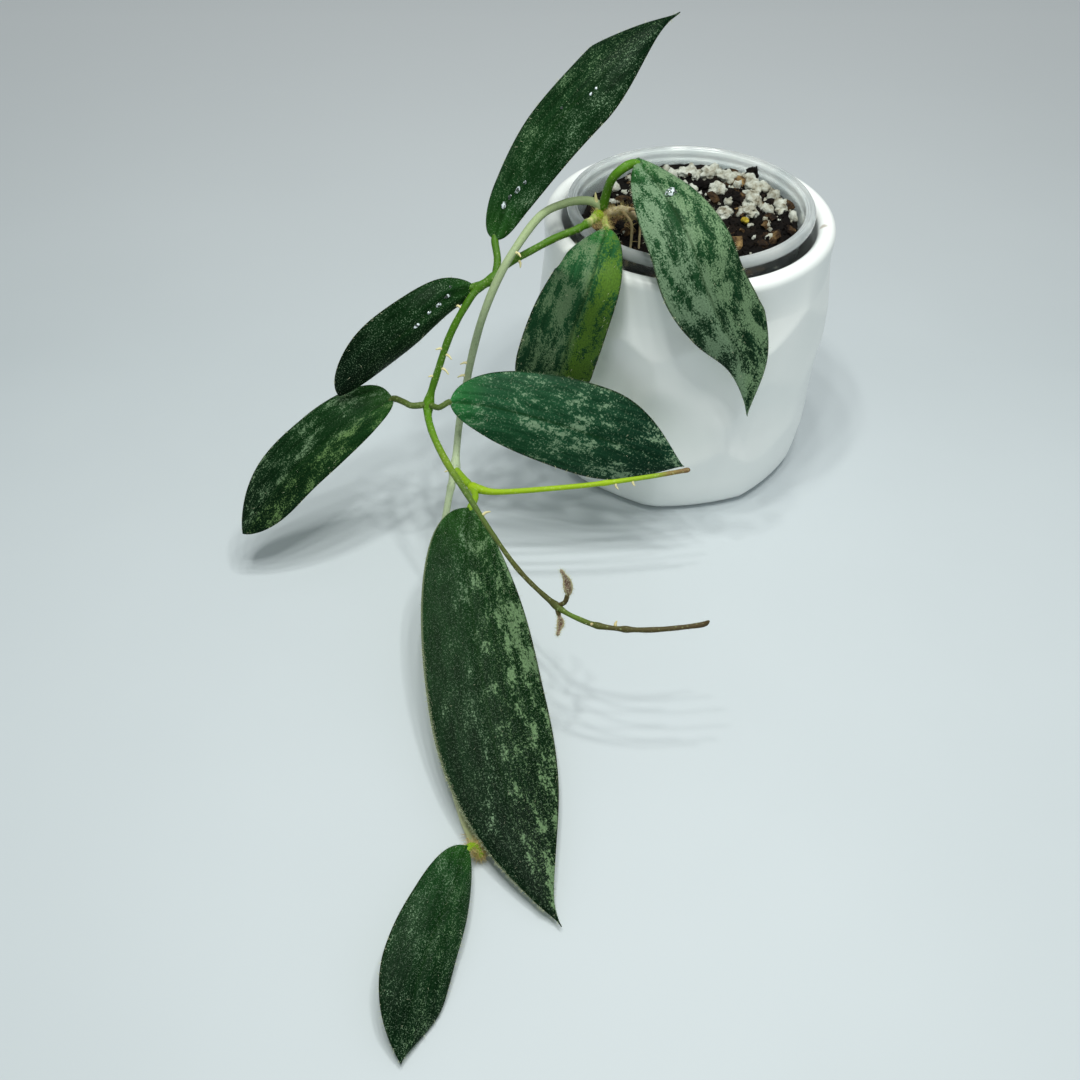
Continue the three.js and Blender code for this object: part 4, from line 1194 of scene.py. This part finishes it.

# %% [markdown]
# ### Midrib, edge and underside
#
# The midrib is a dark channel above, its dark green partly its own colour and partly painted shade
# of the groove, and a pale ridge below. A thin dark line runs round the edge, paler on the woolly
# side, and the underside is a dull, pale green with faint streaks.

# %% Paints for rib, edge and underside
from_rib = add(tree, "Math ABSOLUTE", across_mm)
# painted shade: the dark green along the midrib is partly its own colour, partly the groove's shade
# painted in
channel = add(tree, "MapRange", from_rib, 0.7, 0.2, 0.0, 0.5)
channel_fade = add(tree, "MapRange", along, 0.9, 0.5)
channel = add(tree, "Math MULTIPLY", channel, channel_fade)
from_middle = add(tree, "Math ABSOLUTE", across)
edge = add(tree, "MapRange", from_middle, 0.955, 0.985, 0.0, 0.65)
woolly_side = add(tree, "MapRange", lean, -0.6, -0.95, 0.0, 0.8)
edge_colour = add(tree, "Mix RGBA", woolly_side, "#1a2410", "#8a9674")
under = add(tree, "MapRange", face, 0.2, -0.2)
pale_streak = add(tree, "MapRange", streak, 0.35, 0.7)
pale_side = add(tree, "Mix RGBA", pale_streak, "#56743f", "#7b9564")
ridge = add(tree, "MapRange", from_rib, 1.2, 0.4, 0.0, 0.7)
pale_side = add(tree, "Mix RGBA", ridge, pale_side, "#93a86a")
print("nodes so far:", len(tree.nodes))

# %% [markdown]
# ### Laying the paints
#
# The colour is built like paint, in layers, each laid over the ones before. Side veins leave the
# midrib at a slant, every 7 mm or so, and the skin between them is quilted: that is relief, so it
# goes into a bump. The shine is kept low, because the real skin mirrors the room only faintly.

# %% Layers, veins and shine
colour = green
# the channel's layer is partly painted shade of the groove, and the splash partly a painted sheen on
# the long leaf
layers = [(streaked, lighter), (round_flecks, lighter), (specked, silver), (splash, dappled),
          (channel, "#12300f"), (edge, edge_colour), (under, pale_side)]
for cover, paint in layers:
    colour = add(tree, "Mix RGBA", cover, colour, paint)
slant = add(tree, "Math MULTIPLY_ADD", from_rib, -0.55, along_mm)
vein = add(tree, "Math MULTIPLY", slant, 0.85)
vein = add(tree, "Math SINE", vein)
height = add(tree, "Math MULTIPLY_ADD", vein, 0.12, grain)
bump = add(tree, "Bump", Height=height, Strength=0.35, Distance=0.4 * MM)
glossy = add(tree, "MapRange", gloss, 0.3, 0.7, 0.17, 0.28)
fill(tree, shader, {"Base Color": colour, "Roughness": glossy, "Specular IOR Level": 0.03,
                    "Normal": bump})
print("nodes in the leaf's skin:", len(tree.nodes))

# %% [markdown]
# ### Eight blades
#
# Each blade is built from the formula and given its attributes. The numbers of a leaf could be
# eight materials, but as attributes they leave one material to look after. Two more attributes
# say where hairs and bristles will grow: at the edge, and on the upper face.


# %% Blades
BLADE_NET, FOLDED_NET = (130, 33), (40, 13)  # stations along a blade, columns across it
PAINTED_SHEEN_EXTRA, PAINTED_SHEEN_PLACE, PAINTED_SHEEN_REACH, WOOL_STARTS, MARGIN_STARTS = 0.9, 0.33, 0.16, 0.35, 0.93


def make_blade(name, leaf, net, material, slot, solid):
    points, places, marks, sides = blade_points(leaf, *net)
    t, v, face = marks.T
    piece = new_piece(name, points, ring_faces(net[0], sides), material)
    give_attribute(piece, "blade_mm", places, "FLOAT_VECTOR")
    give_attribute(piece, "blade_mark", marks, "FLOAT_VECTOR")
    give_attribute(piece, "blade_look", np.tile(leaf["look"], (len(points), 1)), "FLOAT_VECTOR")
    for field, usual in {"shade": 1.0, "hue": 0.5, "glow": 1.0}.items():
        give_attribute(piece, "blade_" + field, np.full(len(points), leaf.get(field, usual)))
    # painted sheen: the lean grows about a third of the way along the blade, where the extra silver
    # stands for the long leaf's sheen
    painted_sheen_boost = 1 + PAINTED_SHEEN_EXTRA * np.exp(-(((t - PAINTED_SHEEN_PLACE) / PAINTED_SHEEN_REACH) ** 2))
    give_attribute(piece, "blade_lean", -leaf.get("lean", 0.0) * v * painted_sheen_boost)
    margin = np.clip((np.abs(v) - MARGIN_STARTS) / 0.05, 0, 1)
    woolly = leaf.get("woolly", 0) * (v > 0) * (t > WOOL_STARTS)
    give_attribute(piece, "hairy", margin * (1 + woolly) + 0.02)
    give_attribute(piece, "bristly", leaf.get("bristles", 0) * (face > 0))
    finish_piece(piece, slot, solid)
    return piece


blades = []
for seed, (solid, leaf) in enumerate(LEAVES.items(), start=1):
    leaf["seed"] = seed
    name = solid.replace("leaf_", "blade_")
    blades.append(make_blade(name, leaf, BLADE_NET, leaf_skin, "blade", solid))

# %% [markdown]
# ## Two young leaves
#
# At the last joint two young leaves are still folded along their midribs. They are mauve-brown
# and felted with short hairs: dull, with a soft sheen, blotched about every millimetre and paler
# at the edge. The blade formula makes them too, with an arch that bends upwards.

# %% Folded leaves
felt, tree, shader = new_material("felted_young_leaf")
place = add(tree, "TexCoord").outputs["Object"]
patchy = add(tree, "TexNoise", place, 900, 4)
tint = add(tree, "ValToRGB", patchy, stops=[(0.35, "#54392f"), (0.65, "#86705e")])
mark = add(tree, "Attribute", attribute_name="blade_mark").outputs["Vector"]
across = add(tree, "SeparateXYZ", mark).outputs["Y"]
from_middle = add(tree, "Math ABSOLUTE", across)
at_edge = add(tree, "MapRange", from_middle, 0.4, 0.95)
colour = add(tree, "Mix RGBA", at_edge, tint, "#a39a74")
fill(tree, shader, {"Base Color": colour, "Roughness": 0.8, "Sheen Weight": 0.5,
                    "Sheen Roughness": 0.4})

YOUNG = dict(facing=(TOWARDS_VIEWER, TOWARDS_VIEWER), twist=(0, 0), arch=-0.5, thickness=0.75,
             look=(0.3, 0.3, 0.3), channel=0.2, wave=0.1)
YOUNG_FORM = (0.4, 0.6, 1.6, 1.4)
YOUNG_LEAVES = {
    "young_leaf_1": (1.5, 11, [(-46.2, -141.8, 50), (-46, -141.4, 51.5), (-46.5, -139.7, 54.5),
                               (-48.4, -137.9, 57.5)]),
    "young_leaf_2": (1.2, 12, [(-48.7, -145.1, 44.4), (-48.3, -146.7, 43), (-48.8, -148.5, 42),
                               (-49.3, -150.4, 41)]),
}
folded = []
for solid, (width, seed, midrib) in YOUNG_LEAVES.items():
    half = (width, *YOUNG_FORM)
    leaf = {**YOUNG, "midrib": midrib, "left": half, "right": half, "seed": seed}
    name = solid.replace("young", "folded")
    folded.append(make_blade(name, leaf, FOLDED_NET, felt, "young_blade", solid))

# %% [markdown]
# ## Hairs
#
# Hoya leaves have a fringe of short pale hairs at the edge, and the young stems a thin down. Two
# blades are bristly on top, and golden tufts stand about two of the joints. Hair curves would do,
# but the export wants meshes, so Geometry Nodes grow them: points on the surface, a thin cone on
# each, turned to stand out of the surface with a little random tilt. The real hairs are about
# 0.03 mm thick. They are drawn a little thicker, because a finer one would vanish in the picture.


# %% A tree that grows hairs, and three kinds of hair
def hair_tree():
    tree, given, spread = start_tree("grow_hairs", {"Length": "Float", "Thickness": "Float"})
    cone = {"Radius Top": 0.0, "Radius Bottom": given["Thickness"]}
    hair = add(tree, "GeometryNodeMeshCone", 3, Depth=given["Length"], fill_type="NONE", **cone)
    least = add(tree, "Math MULTIPLY", given["Tilt"], -1.0)
    low = add(tree, "CombineXYZ", least, least, least)
    high = add(tree, "CombineXYZ", given["Tilt"], given["Tilt"], given["Tilt"])
    tilt = add(tree, "FunctionNodeRandomValue FLOAT_VECTOR", low, high, Seed=given["Seed"])
    turn = add(tree, "FunctionNodeRotateRotation", spread.outputs["Rotation"], tilt,
               rotation_space="LOCAL")
    size = add(tree, "FunctionNodeRandomValue", 0.5, 1.2, Seed=given["Seed"])
    return end_tree(tree, given, spread, hair, turn, size)


def hair_material(name, root, tip):
    material, tree, shader = new_material(name)
    place = add(tree, "TexCoord").outputs["Object"]
    mixed = add(tree, "TexNoise", place, 500, 2)
    colour = add(tree, "Mix RGBA", mixed, root, tip)
    fill(tree, shader, {"Base Color": colour, "Roughness": 0.6})
    return material


grow_hairs = hair_tree()
pale_hair = hair_material("pale_leaf_hair", "#a5ad80", "#d8dcc0")
golden_hair = hair_material("golden_stem_hair", "#a98f4c", "#d8c888")
bristle = hair_material("short_leaf_bristle", "#4d6a50", "#87a083")
print("nodes in the hair tree:", len(grow_hairs.nodes))

# %% [markdown]
# ### Growing them
#
# A list says what grows on which piece: the attribute that holds the hair's place, the number on
# a square metre, length and thickness, tilt, seed and skin. Hairs near the table are cut off just
# above it.

# %% Coats of hair
HAIR_INPUTS = ("Where", "Per square metre", "Length", "Thickness", "Tilt", "Seed", "Skin")
FRINGE = ("hairy", 1100000.0, 0.0012, 0.00006, 0.7, 5, pale_hair)
BRISTLES = ("bristly", 1600000.0, 0.0009, 0.00004, 1.1, 6, bristle)
FOLDED_DOWN = ("downy", 8000000.0, 0.0011, 0.00005, 0.8, 9, pale_hair)
DOWNS = [(green_vine, 400000.0, 0.0008, "green_bark"), (pale_vine, 250000.0, 0.0007, "pale_bark"),
         (new_shoot, 300000.0, 0.0006, "new_growth")]
TUFTS = [  # piece, centre and reach in millimetres, number on a square metre, slot
    (bark_stem, FIRST_JOINT, 18, 4000000.0, "bark"),
    (green_vine, (-32.4, -26.5, 111.8), 6.5, 5000000.0, "green_bark"),
    (pale_vine, (-73, -202, 3.5), 9, 9000000.0, "pale_bark"),
]
LOWEST_HAIR = 0.1 * MM

coats = [(blade, blade.name + "_fringe", "blade", FRINGE) for blade in blades]
for blade, leaf in zip(blades, LEAVES.values()):
    if "bristles" in leaf:
        coats.append((blade, blade.name + "_bristles", "blade", BRISTLES))
for skin, density, length, slot in DOWNS:
    give_attribute(skin, "downy", np.ones(len(skin.data.vertices)))
    down = ("downy", density, length, 0.00004, 0.8, 7, pale_hair)
    coats.append((skin, skin.name.replace("skin", "down"), slot, down))
for leaf in folded:
    give_attribute(leaf, "downy", np.ones(len(leaf.data.vertices)))
    coats.append((leaf, leaf.name + "_down", "young_blade", FOLDED_DOWN))
for skin, centre, reach, density, slot in TUFTS:
    away = [(vertex.co / MM - Vector(centre)).length for vertex in skin.data.vertices]
    give_attribute(skin, "near_joint", [max(0.0, 1 - distance / reach) for distance in away])
    tuft = ("near_joint", density, 0.0024, 0.00007, 0.9, 4, golden_hair)
    coats.append((skin, skin.name + "_tuft", slot, tuft))
hair_pieces = [
    (grow(grow_hairs, base, name, dict(zip(HAIR_INPUTS, values))), slot)
    for base, name, slot, values in coats
]
for piece, slot in hair_pieces:
    for vertex in piece.data.vertices:
        vertex.co.z = max(vertex.co.z, LOWEST_HAIR)
    finish_piece(piece, slot)

# %% [markdown]
# ## Water drops
# The plant has just been watered. A few drops stand on three of the blades. Water on a waxy leaf
# makes a flat dome with an uneven foot. Each is a squashed ball of water, IOR 1.33, half sunk in
# the blade and pushed in and out by a noise. It is clear in places and a diffuse bright white in
# others, about a millimetre apart: these white places are painted glints for where the real drops
# mirror the lamps.

# %% Water
water, tree, shader = new_material("clear_water")
place = add(tree, "TexCoord").outputs["Object"]
# painted highlight: where this noise is high the drop turns a diffuse white, painted glints for the
# lamps' reflections
painted_glint_noise = add(tree, "TexNoise", place, 1100, 2)
clear = add(tree, "MapRange", painted_glint_noise, 0.48, 0.58, 0.95, 0.1)
ripple = add(tree, "TexNoise", place, 300)
bump = add(tree, "Bump", Height=ripple, Strength=0.1, Distance=0.2 * MM)
fill(tree, shader, {"Base Color": "#e4f0f4", "Transmission Weight": clear, "Roughness": 0.04,
                    "IOR": 1.33, "Specular IOR Level": 1.0, "Normal": bump})
print("nodes in the water:", len(tree.nodes))

# %% [markdown]
# ### Where the drops stand
#
# Each drop is given by its blade, its share of the blade's length and half width, and its own
# half length and half width in millimetres. The nearest point of the upper face gives its centre,
# and that point's normal says which way is up.

# %% Drops
DROPS = [
    ("leaf_top", 0.12, -0.05, 1.5, 0.8), ("leaf_top", 0.15, -0.02, 0.9, 0.6),
    ("leaf_top", 0.19, 0.2, 1.6, 0.7), ("leaf_top", 0.23, 0.3, 0.7, 0.5),
    ("leaf_top", 0.5, -0.17, 0.5, 0.4), ("leaf_top", 0.59, 0.2, 0.6, 0.4),
    ("leaf_top", 0.62, 0.2, 0.4, 0.4), ("leaf_rim", 0.22, -0.24, 1.6, 1.9),
    ("leaf_upper_left", 0.38, -0.05, 1.3, 0.6), ("leaf_upper_left", 0.29, 0.0, 0.8, 0.6),
    ("leaf_upper_left", 0.23, 0.0, 1.1, 0.7), ("leaf_upper_left", 0.17, 0.05, 1.3, 0.6),
    ("leaf_upper_left", 0.14, 0.43, 0.5, 0.4),
]
DROP_RINGS, DROP_SIDES = 13, 24


def surface_point(piece, t, v):
    """The point of a blade's upper face nearest to a share of its length and half width."""
    marks = np.zeros(len(piece.data.vertices) * 3, np.float32)
    piece.data.attributes["blade_mark"].data.foreach_get("vector", marks)
    marks = marks.reshape(-1, 3)
    away = (marks[:, 0] - t) ** 2 + ((marks[:, 1] - v) * 0.15) ** 2 + (marks[:, 2] < 0)
    vertex = piece.data.vertices[int(np.argmin(away))]
    return vertex.co.copy(), vertex.normal.copy()


def drop_points(centre, normal, along, half_length, half_width):
    across = normal.cross(along).normalized()
    along = across.cross(normal)
    points = []
    for ring in range(DROP_RINGS):
        angle = math.pi * (0.02 + 0.96 * ring / (DROP_RINGS - 1))
        for side in range(DROP_SIDES):
            around = 2 * math.pi * side / DROP_SIDES
            circle = Vector((math.cos(around), math.sin(around), 0))
            out = math.sin(angle) * (1 + 0.3 * noise.noise(centre * 900 + circle * 1.6))
            sunk = normal * (0.6 * half_width * math.cos(angle))
            point = centre / MM + along * (out * half_length * math.cos(around))
            point += across * (out * half_width * math.sin(around)) - sunk
            points.append(point)
    return points


drop_parts = []
for solid, t, v, half_length, half_width in DROPS:
    blade = blades[list(LEAVES).index(solid)]
    centre, normal = surface_point(blade, t, v)
    along = surface_point(blade, t + 0.04, v)[0] - centre
    points = drop_points(centre, normal, along, half_length, half_width)
    drop_parts.append((points, ring_faces(DROP_RINGS, DROP_SIDES)))
water_drops = new_piece("water_drops", *joined(drop_parts), water)
finish_piece(water_drops, "clear_plastic")

# %% [markdown]
# ## The table
#
# The plant stands on a pale, matt laminate top with a faint mottle of about 10 cm. It is painted
# lighter away from the viewer: painted light, which stands for the light of the bright wall behind.
# It isn't part of the plant, so it is only staged: a plane wide enough to fill the picture.

# %% Table top
TABLE_HALF, PAINTED_LIGHT_STARTS, PAINTED_LIGHT_FULL = 3000, 0.05, 0.5
top, tree, shader = new_material("matt_white_laminate")
place = add(tree, "TexCoord").outputs["Object"]
mottle = add(tree, "TexNoise", place, 9, 3)
near_colour = add(tree, "Mix RGBA", mottle, "#c3cbcf", "#cad2d6")
depth = add(tree, "SeparateXYZ", place).outputs["Y"]
painted_far_light = add(tree, "MapRange", depth, PAINTED_LIGHT_STARTS, PAINTED_LIGHT_FULL, 0.0, 0.8)
# painted light: the far part of the top is painted paler, for the light of the wall behind
colour = add(tree, "Mix RGBA", painted_far_light, near_colour, "#eef1f4")
fill(tree, shader, {"Base Color": colour, "Roughness": 0.6})
corners = [(x * TABLE_HALF, y * TABLE_HALF, 0) for x, y in ((-1, -1), (1, -1), (1, 1), (-1, 1))]
table = new_piece("table", corners, [(0, 1, 2, 3)], top)
print("table width in m:", 2 * TABLE_HALF * MM)
